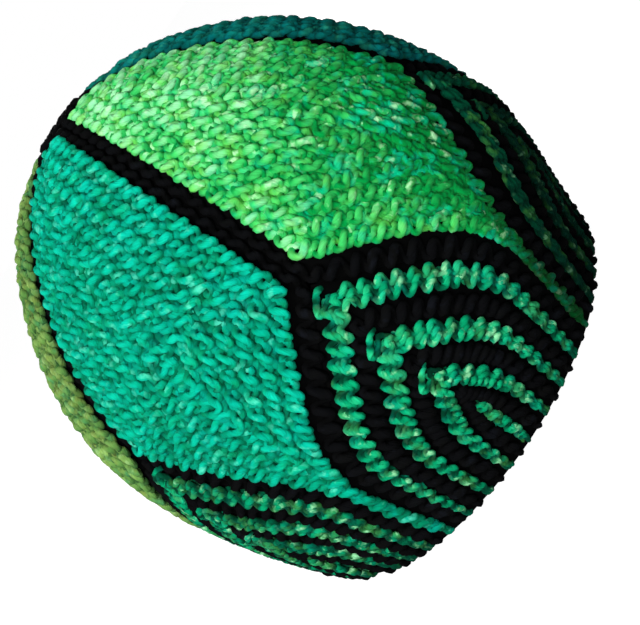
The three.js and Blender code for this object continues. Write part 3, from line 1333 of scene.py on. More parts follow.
LEAF_GREEN = YarnFinish(
    "leaf_green_yarn",
    dark=(0, 146, 64),
    body=(64, 204, 102),
    light=(160, 240, 176),
    fleck=(190, 250, 190),
    cool=(0, 188, 136),
    warm=(114, 204, 70),
    warm_bias=0.9,
    fleck_share=0.05,
    furrow=0.05,
    sheen_tint=(0.5, 1.0, 0.5),
)
SEA_TEAL = YarnFinish(
    "sea_teal_yarn",
    dark=(0, 124, 88),
    body=(0, 164, 130),
    light=(8, 200, 168),
    fleck=(80, 212, 178),
    cool=(0, 172, 152),
    warm=(6, 154, 96),
    fleck_share=0.06,
    furrow=0.48,
)
MOSS_OLIVE = YarnFinish(
    "moss_olive_yarn",
    dark=(54, 100, 48),
    body=(92, 138, 66),
    light=(140, 176, 92),
    fleck=(150, 190, 120),
    cool=(50, 140, 92),
    warm=(122, 134, 60),
    sheen_tint=(0.7, 1.0, 0.5),
)
JADE = YarnFinish(
    "jade_yarn",
    dark=(0, 116, 66),
    body=(30, 160, 100),
    light=(84, 206, 140),
    fleck=(150, 216, 150),
    cool=(0, 168, 132),
    warm=(104, 172, 70),
)
DEEP_TEAL = YarnFinish(
    "deep_teal_yarn",
    dark=(0, 74, 74),
    body=(2, 106, 102),
    light=(16, 146, 132),
    fleck=(50, 160, 130),
    cool=(0, 104, 116),
    warm=(30, 112, 76),
)
STRIPE_GREEN = YarnFinish(
    "stripe_green_yarn",
    dark=(0, 74, 48),
    body=(2, 160, 106),
    light=(44, 208, 142),
    fleck=(160, 236, 176),
    cool=(0, 172, 142),
    warm=(62, 134, 54),
    cool_share=0.4,
    warm_share=0.4,
    warm_bias=-0.4,
    fleck_share=0.06,
)
BLACK = YarnFinish(
    "black_yarn",
    dark=(4, 4, 5),
    body=(6, 6, 8),
    light=(9, 10, 12),
    fleck=(14, 16, 22),
    cool=(6, 7, 10),
    warm=(8, 8, 7),
    sheen=0.0,
    sheen_tint=(0.7, 0.8, 1.0),
    specular=0.05,
)
ALL_YARNS = (LEAF_GREEN, SEA_TEAL, MOSS_OLIVE, JADE, DEEP_TEAL, STRIPE_GREEN, BLACK)


# Gauges of the strands under and behind the ridges, whose shade paints the sunken strands darker as
# painted shade

INSIDE_GAUGE = Gauge(swing=1.7, dive=0.4, yarn_radius=1.35, points_per_stitch=8, yarn_sides=5, seed=77)
FILL_GAUGE = Gauge(swing=1.3, dive=0.3, yarn_radius=1.3, points_per_stitch=10, yarn_sides=6, seed=55)
GORE_FILL = Fill(replace(FILL_GAUGE, shade=0.3), 0.95)
GORE_VALLEY = Fill(replace(FILL_GAUGE, swing=0.9, yarn_radius=1.4, shade=0.6, seed=58), 1.15)
STRIPE_FILL = Fill(
    replace(FILL_GAUGE, stitch_length=5.6, swing=1.2, dive=0.45, yarn_radius=1.2, shade=0.1, seed=66),
    0.25,
)


# Pieces


@dataclass
class Workshop:
    """What every piece is made with.

    The webs are the sheets in the middle of the wall. Their heights are in millimetres, and their edge
    is in radians. Their shade, painted shade deep between the loops, and stitch are what the finish reads
    on them.
    """

    form: HatForm
    plan: ChevronPlan
    strands: StrandPlan
    relief: Relief
    tree: RidgeTree
    yarns: dict[str, Material] = field(default_factory=dict)
    web_outer: float = -2.6
    web_inner: float = -3.3
    web_merge: float = 0.01
    web_shade: float = 1.5
    web_edge: float = 0.002
    web_low: float = 0.9
    web_stitch: float = 0.5

    def hand_in(self, piece: Object, node: str, slot: str) -> None:
        """Puts a finished piece in the place of its solid.

        Args:
            piece: the finished object.
            node: the solid that it stands for.
            slot: the record's material slot.
        """
        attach(piece, ROOT)
        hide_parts(node)
        LOG.info("%s: %d faces in %s", piece.name, len(piece.data.polygons), slot)

    def knit(self, name: str, strands: list[Strand], gauge: Gauge, yarn: Material) -> Object:
        """Knits strands on the hat's form."""
        return self.tree.knit(name, strands, self.form, gauge, yarn)

    def fill(self, name: str, strands: list[Strand], fill: Fill, yarn: Material) -> Object:
        """Knits the sunken strands under given ones."""
        sunken = [self.strands.filler(strand, fill) for strand in strands]
        return self.knit(name, sunken, fill.gauge, yarn)

    def join(self, name: str, pieces: list[Object]) -> Object:
        """Joins objects into the first of them.

        Args:
            name: its new name.
            pieces: the objects.

        Returns:
            The joined object.
        """
        target = pieces[0]
        with bpy.context.temp_override(active_object=target, selected_editable_objects=pieces):
            bpy.ops.object.join()
        target.name = name
        target.data.name = name
        return target

    def web(
        self,
        name: str,
        arc: np.ndarray,
        longitude: np.ndarray,
        height: np.ndarray,
        yarn: Material,
        tone: float = PLAIN_TONE,
        ring: bool = False,
    ) -> Object:
        """Closed thin sheet in the middle of the wall, seen only deep between the loops and painted with
        shade there.

        Args:
            name: name of the new object.
            arc: grid of arc lengths.
            longitude: grid of angles round the axis.
            height: grid of heights over the dome.
            yarn: material of the yarn.
            tone: place in the yarn's colours.
            ring: whether the last column meets the first.

        Returns:
            The object.
        """
        rows, columns = arc.shape
        grid = bmesh.new()
        layers = []
        for drop in (self.web_outer, self.web_inner):
            layer = self.form.points(arc, longitude, height + drop)
            layers.append([[grid.verts.new(layer[r, c]) for c in range(columns)] for r in range(rows)])
        outer, inner = layers
        for r in range(rows - 1):
            for c in range(columns - 1):
                for corner, way in ((outer, 1), (inner, -1)):
                    loop = [corner[r][c], corner[r][c + 1], corner[r + 1][c + 1], corner[r + 1][c]]
                    grid.faces.new(loop[::way])
        edge = [(0, c) for c in range(columns)] + [(r, columns - 1) for r in range(1, rows)]
        edge += [(rows - 1, c) for c in range(columns - 2, -1, -1)]
        edge += [(r, 0) for r in range(rows - 2, 0, -1)]
        for (r0, c0), (r1, c1) in zip(edge, edge[1:] + edge[:1]):
            if ring and c0 == c1:
                continue
            grid.faces.new([outer[r1][c1], outer[r0][c0], inner[r0][c0], inner[r1][c1]])
        bmesh.ops.remove_doubles(grid, verts=grid.verts, dist=self.web_merge * MM)
        bmesh.ops.recalc_face_normals(grid, faces=grid.faces)
        for polygon in grid.faces:
            polygon.smooth = True
        mesh = bpy.data.meshes.new(name)
        grid.to_mesh(mesh)
        grid.free()
        mesh.materials.append(yarn)
        count = len(mesh.vertices)
        for key, value in (("tone", tone), ("stitch", self.web_stitch), ("sink", self.web_shade)):
            attribute = mesh.attributes.new(key, "FLOAT", "POINT")
            attribute.data.foreach_set("value", np.full(count, value, dtype=np.float32))
        piece = bpy.data.objects.new(name, mesh)
        bpy.context.scene.collection.objects.link(piece)
        return piece


@dataclass
class Panel:
    """One of a set of like pieces round the hat, numbered from the front."""

    shop: Workshop
    index: int

    @property
    def plan(self) -> ChevronPlan:
        """Lines of the hat."""
        return self.shop.plan

    @property
    def middle(self) -> float:
        """Angle of the piece's middle line."""
        return -2.0 * self.plan.half_sector * (self.index - 1)

    def seeded(self, gauge: Gauge, first: int) -> Gauge:
        """Gauge with a seed of the piece's own."""
        return replace(gauge, seed=first + self.index * SEED_STEP)


@dataclass(frozen=True)
class GoreLook:
    """Yarn of one gore, and how far its colour falls towards the tail and the right-hand edge. On the
    first gore these falls are painted shade, and the second gore's negative right-hand fall is painted
    light.
    """

    finish: YarnFinish
    tone_middle: float = 0.5
    tone_tail: float = 0.5
    right_shade: float = 0.0


@dataclass
class Gore(Panel):
    """Plain lens-shaped panel of ridges that run side by side with its edges.

    Lengths are in millimetres and the least width is in radians. Tones and weaves are shares.
    """

    look: GoreLook
    first_seed: int = 0
    ridge_start: float = 0.5
    valley_start: float = 1.0
    inside_start: float = 1.0
    web_shade_tone: float = 0.3
    tone_down: float = -0.25
    tone_reach: float = 70.0
    right_shade_top: float = 0.7
    right_shade_full: float = 0.42
    least_width: float = 0.02
    end_room: float = 0.5
    spine_drop: float = 1.6
    spine_narrow: float = 0.2
    spine_wide: float = 1.7
    spine_step: float = 1.0
    edge_reach: float = 0.5
    edge_weave: float = 1.25
    tail_top: float = 62.0
    tail_full: float = 50.0
    corner_reach: float = 7.0
    corner_weave: float = 0.2
    most_loops: int = 12
    samples: int = 260
    web_rows: int = 60
    web_columns: int = 14
    gauge: Gauge = Gauge(swing=1.95, dive=0.75, swell=0.1, yarn_radius=1.2, unevenness=0.6)

    @property
    def middle(self) -> float:
        """Angle of the gore's middle line, half a sector from the band's."""
        return super().middle + self.plan.half_sector

    def tone(self, arc: np.ndarray, aside: np.ndarray) -> np.ndarray:
        """Finds the place in the yarn's colours, with painted shade on the right-hand side where the
        look's share is positive and painted light where it is negative.

        Args:
            arc: arc lengths from the rim.
            aside: angles from the gore's middle line.

        Returns:
            Tones, 0 for the dark dye and 1 for the light one; tones below 0 are dimmed as painted shade.
        """
        high = arc / self.plan.crown_arc
        low = unit((self.right_shade_top - high) / (self.right_shade_top - self.right_shade_full))
        width = np.maximum(self.plan.half_sector - self.plan.gore_line(arc, 0.0), self.least_width)
        right = low * unit((1.0 + aside / width) / 2.0)
        down = 1.0 - 2.0 * high
        tail = unit(1.0 - arc / self.tone_reach)
        # Painted shade towards the tail and on the right-hand side, painted light where the right-hand
        # share is negative
        fall = self.look.tone_tail * tail + self.look.right_shade * right
        return self.look.tone_middle + self.tone_down * down - fall

    def loop(self, inset: float, face: Face) -> Optional[Strand]:
        """One ridge that runs round the gore at a set distance from its edge.

        Args:
            inset: distance from the gore's edge.
            face: the face of the wall that it lies on.

        Returns:
            The strand, or nothing where the gore is too narrow for it.
        """
        plan, strands = self.plan, self.shop.strands
        arc = np.linspace(plan.crown_arc, strands.wrap_arc, self.samples)
        fits = plan.gore_room(arc) - inset >= self.end_room
        if not fits.any():
            return None
        widest = int(np.argmax(plan.gore_room(arc)))
        first = widest - int(np.argmin(fits[widest::-1])) + 1 if not fits[: widest + 1].all() else 0
        last = widest + int(np.argmin(fits[widest:])) if not fits[widest:].all() else len(arc)
        run = arc[first:last]
        line = plan.gore_line(run, inset)
        at_edge = inset < plan.ridge_pitch
        if at_edge:
            reach = unit((plan.tip_arc - run) / self.corner_reach)
            line = line + (plan.gore_line(run, inset - self.edge_reach) - line) * reach
        aside = plan.half_sector - line
        arcs = np.concatenate([run, run[::-1]])
        asides = np.concatenate([-aside, aside[::-1]])
        near = unit(1.0 - np.abs(arcs - plan.tip_arc) / self.corner_reach)
        weave = 1.0 + self.corner_weave * near
        if at_edge:
            weave = weave * np.where(arcs < plan.tip_arc, self.edge_weave, 1.0)
        strand = strands.along(arcs, self.middle + asides, face, self.tone(arcs, asides), weave)
        strand.lift = strand.lift + self.shop.relief.gore(arcs, inset)
        return strands.tucked(strand, at_start=True, at_end=True)

    def loops(self, face: Face, first: float) -> list[Strand]:
        """All ridges round the gore that fit in it, from its edge inwards.

        Args:
            face: the face of the wall that they lie on.
            first: distance of the first one from the edge, in ridges.

        Returns:
            The strands.
        """
        pitch = self.plan.ridge_pitch
        strands = [self.loop((first + i) * pitch, face) for i in range(self.most_loops)]
        return [strand for strand in strands if strand is not None]

    def spine_room(self, arc: np.ndarray) -> np.ndarray:
        """Finds the room between the middle line and the innermost loop.

        Args:
            arc: arc lengths from the rim.

        Returns:
            Shares of a ridge, 1 where another loop would nearly fit.
        """
        pitch = self.plan.ridge_pitch
        room = self.plan.gore_room(arc)
        inner = np.floor((room - self.end_room) / pitch - self.ridge_start)
        free = np.where(inner >= 0, room - (inner + self.ridge_start) * pitch, room)
        return unit(free / (pitch + self.end_room))

    def spine(self) -> Strand:
        """Ridge down the middle line, wide where the loops leave room and alone at the rim.

        Returns:
            The strand.
        """
        strands = self.shop.strands
        arc = strands.downwards(self.spine_step)
        aside = np.zeros(len(arc))
        alone = unit((self.tail_top - arc) / (self.tail_top - self.tail_full))
        room = self.spine_room(arc)
        weave = self.spine_narrow + (self.spine_wide - self.spine_narrow) * room
        weave = weave * (1.0 - alone) + alone
        strand = strands.along(arc, self.middle + aside, Face.OUTSIDE, self.tone(arc, aside), weave)
        strand.lift = strand.lift - self.spine_drop * (1.0 - room) * (1.0 - alone)
        strand.lift = strand.lift + self.shop.relief.gore(arc, self.plan.gore_room(arc))
        return strands.with_wraps(strand, at_start=False, at_end=True)

    def sheet(self, yarn: Material) -> Object:
        """Thin sheet between the two faces.

        Args:
            yarn: material of the yarn.

        Returns:
            The sheet.
        """
        plan, shop = self.plan, self.shop
        first = plan.ridge_pitch / 2.0
        rows = np.linspace(plan.crown_arc, shop.web_low, self.web_rows)
        edge = np.maximum(plan.half_sector - plan.gore_line(rows, first), shop.web_edge)
        share = np.linspace(-1.0, 1.0, self.web_columns)
        longitude = self.middle + edge[:, None] * share[None, :]
        arc = np.repeat(rows[:, None], self.web_columns, axis=1)
        inset = first + (1.0 - np.abs(share))[None, :] * (plan.gore_room(rows)[:, None] - first)
        height = shop.relief.gore(arc, inset)
        # The web's low tone is painted shade deep between the loops
        return shop.web(f"gore_{self.index}_web", arc, longitude, height, yarn, self.web_shade_tone)

    def build(self) -> Object:
        """Knits both faces of the gore.

        Returns:
            The finished piece.
        """
        shop, strands = self.shop, self.shop.strands
        yarn = shop.yarns[self.look.finish.slot]
        ridges = self.loops(Face.OUTSIDE, self.ridge_start)
        valleys = self.loops(Face.OUTSIDE, self.valley_start)
        rows = [row for pair in zip_longest(ridges[:-1], valleys) for row in pair if row is not None]
        rows = strands.in_columns(rows, self.gauge.stitch_length)
        outer = rows[::2] + strands.parted(ridges[-1]) + [self.spine()]
        inner = self.loops(Face.INSIDE, self.inside_start)
        name = f"gore_{self.index}_knit"
        parts = [
            shop.knit(name, outer, self.seeded(self.gauge, self.first_seed), yarn),
            shop.knit(name + "_in", inner, INSIDE_GAUGE, yarn),
            shop.fill(name + "_fill", outer, GORE_FILL, yarn),
            shop.fill(name + "_valley", rows[1::2], GORE_VALLEY, yarn),
            self.sheet(yarn),
        ]
        return shop.join(name, parts)

    def dress(self) -> None:
        """Builds the gore and puts it in place."""
        self.shop.hand_in(self.build(), f"gore_{self.index}", self.look.finish.slot)


@dataclass
class Band(Panel):
    """Near-black Y that parts two gores and frames the wedge below, with lengths in millimetres."""

    first_seed: int = 200
    level: float = 1.15
    inner_level: float = 1.5
    leg_weave: float = 1.3
    least_room: float = 0.7
    stem_weave: float = 0.5
    stem_offset: float = 2.15
    stem_fold: float = 12.0
    arc_step: float = 1.0
    web_rows: int = 60
    web_columns: int = 8
    climb_start: float = 0.55
    gauge: Gauge = Gauge(swing=1.6, dive=1.1, points_per_stitch=12, yarn_sides=6)

    def leg(self, side: float, face: Face) -> Strand:
        """Ridge from the crown down one side of the stem and along its leg to the rim.

        Args:
            side: 1 for the right-hand side and -1 for the left.
            face: the face of the wall that it lies on.

        Returns:
            The strand.
        """
        plan, strands = self.plan, self.shop.strands
        arc = strands.downwards(self.arc_step)
        stem = self.stem_offset / plan.form.radius(arc)
        aside = np.maximum(stem, plan.arm(self.level, arc))
        apex = plan.apex(self.level)
        near = unit((apex - arc) / self.stem_fold)
        room = np.where(arc < apex, plan.spacing(self.level, arc) / plan.ridge_pitch, 0.0)
        leg_weave = np.maximum(room, self.least_room) * self.leg_weave
        weave = self.stem_weave + (leg_weave - self.stem_weave) * near
        tone = np.full(len(arc), PLAIN_TONE)
        strand = strands.along(arc, self.middle + side * aside, face, tone, weave)
        strand.lift = strand.lift + self.shop.relief.band(arc)
        if face is Face.OUTSIDE:
            strand = strands.with_wraps(strand, at_start=False, at_end=True)
        return strand

    def sheet(self, side: float, yarn: Material) -> Object:
        """Thin sheet between the two faces of one half of the band.

        Args:
            side: 1 for the right-hand half and -1 for the left.
            yarn: material of the yarn.

        Returns:
            The sheet.
        """
        plan, shop = self.plan, self.shop
        first = plan.ridge_pitch / 2.0
        rows = np.linspace(plan.crown_arc, shop.web_low, self.web_rows)
        outer = np.minimum(plan.gore_line(rows, first), plan.half_sector - shop.web_edge)
        inner = np.where(rows < plan.apex(self.inner_level), plan.arm(self.inner_level, rows), 0.0)
        share = np.linspace(0.0, 1.0, self.web_columns)
        longitude = self.middle + side * (inner[:, None] + (outer - inner)[:, None] * share[None, :])
        arc = np.repeat(rows[:, None], self.web_columns, axis=1)
        climb = unit((share - self.climb_start) / (1.0 - self.climb_start))[None, :]
        height = shop.relief.band(arc) * (1.0 - climb) + shop.relief.gore(arc, first) * climb
        return shop.web(f"band_{self.index}_web", arc, longitude, height, yarn)

    def build(self) -> Object:
        """Knits both faces of the band.

        Returns:
            The finished piece.
        """
        shop = self.shop
        yarn = shop.yarns[BLACK.slot]
        name = f"band_{self.index}_knit"
        outer, inner = ([self.leg(side, face) for side in BOTH_SIDES] for face in Face)
        parts = [
            shop.knit(name, outer, self.seeded(self.gauge, self.first_seed), yarn),
            shop.knit(name + "_in", inner, INSIDE_GAUGE, yarn),
        ]
        parts += [self.sheet(side, yarn) for side in BOTH_SIDES]
        return shop.join(name, parts)

    def dress(self) -> None:
        """Builds the band and puts it in place."""
        self.shop.hand_in(self.build(), f"band_{self.index}", BLACK.slot)


@dataclass(frozen=True)
class WedgeLook:
    """How the stripes of one wedge differ from the others. On the sixth wedge the low, stepping and
    steeply falling tones are painted shade.
    """

    tone_high: float = 0.62
    tone_step: float = 0.0
    tone_fall: float = 0.35
    stripe_share: float = 1.0
    pinch_left: float = 0.0
    pinch_right: float = 0.0


@dataclass
class Wedge(Panel):
    """Nested chevrons, green and near-black ridges in turn, with lengths in millimetres.

    A row of tooth_path is a knot of the loop beside a chevron's point: how far aside, up and out.
    """

    look: WedgeLook = WedgeLook()
    green_seed: int = 400
    black_seed: int = 403
    green_levels: tuple[int, ...] = (2, 4, 6, 8)
    black_levels: tuple[int, ...] = (3, 5, 7)
    inner_level: float = 1.5
    sunk_level: float = 2.5
    arc_step: float = 0.8
    web_rows: int = 40
    web_levels: int = 14
    tone_rim: float = 0.6
    rim_reach: float = 9.0
    pinch_reach: float = 24.0
    sag: float = 0.32
    lean: float = 1.8
    lean_levels: float = 1.5
    lean_foot: float = 0.8
    least_weave: float = 0.8
    most_weave: float = 1.3
    rim_taper: float = 0.45
    taper_arc: float = 62.0
    ridge_shift: float = 0.26
    edge_shift: float = -0.3
    edge_drop: float = 0.35
    tooth_levels: tuple[int, ...] = (2, 4, 6)
    tooth_steps: int = 18
    tooth_lift: float = 1.0
    tooth_path: tuple[tuple[float, float, float], ...] = (
        (0.8, 5.6, -2.6),
        (-1.2, 6.0, -0.3),
        (-4.2, 4.0, 0.2),
        (-6.6, 2.0, -0.1),
        (-6.4, 0.4, -0.5),
        (-3.6, 1.2, -0.9),
        (-1.6, 2.0, -2.4),
    )
    green_gauge: Gauge = Gauge(
        stitch_length=5.6,
        swing=1.25,
        dive=0.45,
        swell=0.1,
        yarn_radius=1.15,
        unevenness=0.55,
        points_per_stitch=14,
    )
    edge_gauge: Gauge = Gauge(
        stitch_length=5.6,
        swing=1.3,
        dive=0.45,
        yarn_radius=1.12,
        points_per_stitch=12,
        yarn_sides=6,
    )
    tooth_gauge: Gauge = Gauge(swing=0.0, dive=0.0, swell=0.0, yarn_radius=1.2, points_per_stitch=14)
    black_gauge: Gauge = Gauge(swing=1.9, points_per_stitch=12, yarn_sides=6)

    def is_green(self, level: float) -> bool:
        """Whether a line on the wedge belongs to a green stripe."""
        return round(level) in self.green_levels

    def tone(self, level: float) -> float:
        """Place in the yarn's colours at a chevron's point."""
        return self.look.tone_high - self.look.tone_step * max(level - self.green_levels[0], 0.0)

    def leaning(self, level: float, share: np.ndarray) -> np.ndarray:
        """How far a chevron leans to the left, from its share of the way up to its point."""
        inward = (level - self.green_levels[0]) / self.lean_levels
        return self.lean * unit(inward + self.lean_foot * (1.0 - share))

    def chevron(self, level: float, face: Face) -> Strand:
        """One ridge from the rim up to the chevron's point and down again.

        Args:
            level: number of the chevron, counted from the band.
            face: the face of the wall that it lies on.

        Returns:
            The strand.
        """
        plan, strands, relief = self.plan, self.shop.strands, self.shop.relief
        single = level >= plan.levels
        sag = 0.0 if single else self.sag
        point = plan.apex(level + sag)
        arc = np.append(np.arange(strands.wrap_arc, point, self.arc_step), point)
        apart = self.rim_taper + (1.0 - self.rim_taper) * arc / point
        drawn = round(level) + (level - round(level)) * apart + sag * arc / point
        aside = plan.arm(drawn, arc)
        taper = self.rim_taper + (1.0 - self.rim_taper) * unit(arc / self.taper_arc)
        weave = np.clip(plan.spacing(drawn, arc) / plan.ridge_pitch, self.least_weave, self.most_weave)
        if self.is_green(level):
            weave = self.look.stripe_share * (np.ones(len(arc)) if single else weave * taper)
        if not single:
            room = (drawn - plan.band_level) * unit((point - arc) / self.pinch_reach)
            left = plan.arm(drawn - self.look.pinch_left * room, arc)
            right = plan.arm(drawn - self.look.pinch_right * room, arc)
            arc = np.concatenate([arc, arc[-2::-1]])
            aside = np.concatenate([-left, right[-2::-1]])
            weave = np.concatenate([weave, weave[-2::-1]])
        aside = aside - self.leaning(level, arc / point) / plan.form.radius(arc)
        # Tones fall towards the rim, steeply on the sixth wedge as painted shade
        tone = self.tone(level) - self.look.tone_fall * (1.0 - arc / plan.apex_at_level_0)
        tone = tone - self.tone_rim * unit(1.0 - arc / self.rim_reach)
        strand = strands.along(arc, self.middle + aside, face, tone, weave)
        rise = relief.green_stripe if self.is_green(level) else relief.black_stripe
        strand.lift = strand.lift + rise * relief.at_rim(arc)
        if single:
            strand = strands.tucked(strand, at_start=False, at_end=True)
        if face is Face.OUTSIDE:
            strand = strands.with_wraps(strand, at_start=True, at_end=not single)
        return strand

    def ridge_level(self, level: int) -> float:
        """Place of a stripe's main ridge, which leaves room for the edge row of a green one."""
        shifted = self.is_green(level) and level < self.plan.levels
        return level + self.ridge_shift if shifted else float(level)

    def ridges(self) -> dict[int, Strand]:
        """Main outer ridges, with their stitches in columns.

        Returns:
            The strands by level.
        """
        levels = sorted(self.green_levels + self.black_levels)
        ridges = [self.chevron(self.ridge_level(level), Face.OUTSIDE) for level in levels]
        columns = self.shop.strands.in_columns(ridges[:-1], self.green_gauge.stitch_length)
        return dict(zip(levels, columns + ridges[-1:]))

    def edge(self, level: int, ridge: Strand) -> Strand:
        """Row of stitches along a green stripe's upper edge.

        Args:
            level: number of the chevron.
            ridge: the stripe's main ridge, which sets the columns.

        Returns:
            The strand.
        """
        row = self.chevron(level + self.edge_shift, Face.OUTSIDE)
        pair = self.shop.strands.in_columns([ridge, row], self.green_gauge.stitch_length)
        return replace(pair[1], lift=row.lift - self.edge_drop)

    def tooth(self, level: int) -> Strand:
        """Single loop that stands out beside the point of a green chevron, on a smooth curve.

        Args:
            level: number of the chevron, counted from the band.

        Returns:
            The strand.
        """
        plan = self.plan
        knots = np.array(self.tooth_path)
        ends = np.vstack([2.0 * knots[0] - knots[1], knots, 2.0 * knots[-1] - knots[-2]])
        place = np.linspace(0.0, len(knots) - 1.0, self.tooth_steps)
        first = np.minimum(place.astype(int), len(knots) - 2)
        share = (place - first)[:, None]
        p0, p1, p2, p3 = (ends[first + i] for i in range(4))
        bend = 2.0 * p0 - 5.0 * p1 + 4.0 * p2 - p3
        path = p1 + 0.5 * share * (p2 - p0 + share * (bend + share * (3.0 * (p1 - p2) + p3 - p0)))
        aside, rise, lift = path.T
        arc = plan.apex(level + self.sag) + rise
        longitude = (aside - self.leaning(level, np.ones(1))) / plan.form.radius(arc)
        tone = np.full(self.tooth_steps, self.tone(level))
        strand = self.shop.strands.along(arc, self.middle + longitude, Face.OUTSIDE, tone)
        proud = self.tooth_lift if level > self.green_levels[0] else 0.0
        return replace(strand, lift=strand.lift + lift + proud)

    def sheet(self, yarn: Material) -> Object:
        """Thin sheet between the two faces of the wedge.

        Args:
            yarn: material of the yarn.

        Returns:
            The sheet.
        """
        plan, shop = self.plan, self.shop
        low = shop.web_low
        levels = np.linspace(self.inner_level, plan.levels, self.web_levels)
        share = np.linspace(0.0, 1.0, self.web_rows)
        arc = np.stack([low + (plan.apex(level) - low) * share for level in levels], axis=1)
        aside = np.stack([plan.arm(level, arc[:, i]) for i, level in enumerate(levels)], axis=1)
        near_band = unit((self.sunk_level - levels) / (self.sunk_level - self.inner_level))[None, :]
        height = shop.relief.band(arc) * near_band + shop.relief.black_stripe * (1.0 - near_band)
        name = f"wedge_{self.index}_web"
        halves = [shop.web(name, arc, self.middle + side * aside, height, yarn) for side in BOTH_SIDES]
        return shop.join(name, halves)

    def extras(self, name: str, ridges: dict[int, Strand], yarn: Material) -> list[Object]:
        """Rows beside the main ridge of each green stripe, and the loops at its point.

        Args:
            name: name that the new objects' names start with.
            ridges: the main outer ridges by level.
            yarn: material of the yarn.

        Returns:
            The middle rows, the edge rows and the loops.
        """
        shop = self.shop
        *paired, single = self.green_levels
        edges = [self.edge(level, ridges[level]) for level in paired]
        edges.append(shop.strands.filler(ridges[single], Fill(self.green_gauge, self.edge_drop)))
        teeth = [self.tooth(level) for level in self.tooth_levels]
        under = [self.chevron(level, Face.OUTSIDE) for level in paired]
        return [
            shop.fill(name + "_fill", under, STRIPE_FILL, yarn),
            shop.knit(name + "_edge", edges, self.edge_gauge, yarn),
            shop.knit(name + "_teeth", teeth, self.tooth_gauge, yarn),
        ]

    def build(self, stripe: Stripe) -> Object:
        """Knits the stripes of one yarn.

        Args:
            stripe: which of the two yarns.

        Returns:
            The finished piece.
        """
        shop = self.shop
        name = f"wedge_{self.index}_{stripe.value}_stripes"
        ridges = self.ridges()
        if stripe is Stripe.GREEN:
            levels, yarn = self.green_levels, shop.yarns[STRIPE_GREEN.slot]
            gauge = self.seeded(self.green_gauge, self.green_seed)
        else:
            levels, yarn = self.black_levels, shop.yarns[BLACK.slot]
            gauge = self.seeded(self.black_gauge, self.black_seed)
        inner = [self.chevron(level, Face.INSIDE) for level in levels]
        parts = [
            shop.knit(name, [ridges[level] for level in levels], gauge, yarn),
            shop.knit(name + "_in", inner, INSIDE_GAUGE, yarn),
        ]
        parts += self.extras(name, ridges, yarn) if stripe is Stripe.GREEN else [self.sheet(yarn)]
        return shop.join(name, parts)

    def dress(self) -> None:
        """Builds both yarns' stripes and puts them in place."""
        node = f"wedge_{self.index}"
        self.shop.hand_in(self.build(Stripe.GREEN), node, STRIPE_GREEN.slot)
        self.shop.hand_in(self.build(Stripe.BLACK), node, BLACK.slot)


@dataclass
class CrownGather:
    """Rings of drawn-in stitches that close the top, with lengths in millimetres."""

    shop: Workshop
    ring_radii: tuple[float, ...] = (10.4, 5.6, 1.7)
    full_radius: float = 8.0
    pole_gap: float = 0.2
    samples: int = 48
    web_rows: int = 8
    gauge: Gauge = Gauge(stitch_length=5.4, swing=1.5, dive=1.1, seed=900)

    def ring(self, radius: float, face: Face) -> Strand:
        """One closed ring round the pole.

        Args:
            radius: its distance from the axis.
            face: the face of the wall that it lies on.

        Returns:
            The strand.
        """
        arc = np.full(self.samples, self.shop.plan.arc_at(radius))
        longitude = np.linspace(0.0, math.tau, self.samples, endpoint=False)
        tone = np.full(self.samples, PLAIN_TONE)
        weave = np.full(self.samples, min(1.0, radius / self.full_radius))
        return self.shop.strands.along(arc, longitude, face, tone, weave, closed=True)

    def build(self) -> Object:
        """Knits both faces of the crown.

        Returns:
            The finished piece.
        """
        shop = self.shop
        yarn = shop.yarns[BLACK.slot]
        outer, inner = ([self.ring(radius, face) for radius in self.ring_radii] for face in Face)
        rows = np.linspace(shop.plan.crown_arc, shop.form.length - self.pole_gap, self.web_rows)
        around = np.linspace(0.0, math.tau, self.samples + 1)
        longitude, arc = np.meshgrid(around, rows)
        parts = [
            shop.knit("crown_gather_knit", outer, self.gauge, yarn),
            shop.knit("crown_gather_in", inner, self.gauge, yarn),
            shop.web("crown_gather_web", arc, longitude, np.zeros(arc.shape), yarn, ring=True),
        ]
        return shop.join("crown_gather_knit", parts)

    def dress(self) -> None:
        """Builds the crown and puts it in place."""
        self.shop.hand_in(self.build(), "crown_gather", BLACK.slot)


# Studio


@dataclass(frozen=True)
class Lamp:
    """One soft square light, with its place and side in metres and its power in watts."""

    name: str
    place: tuple[float, float, float]
    side: float
    power: float
    colour: Colour


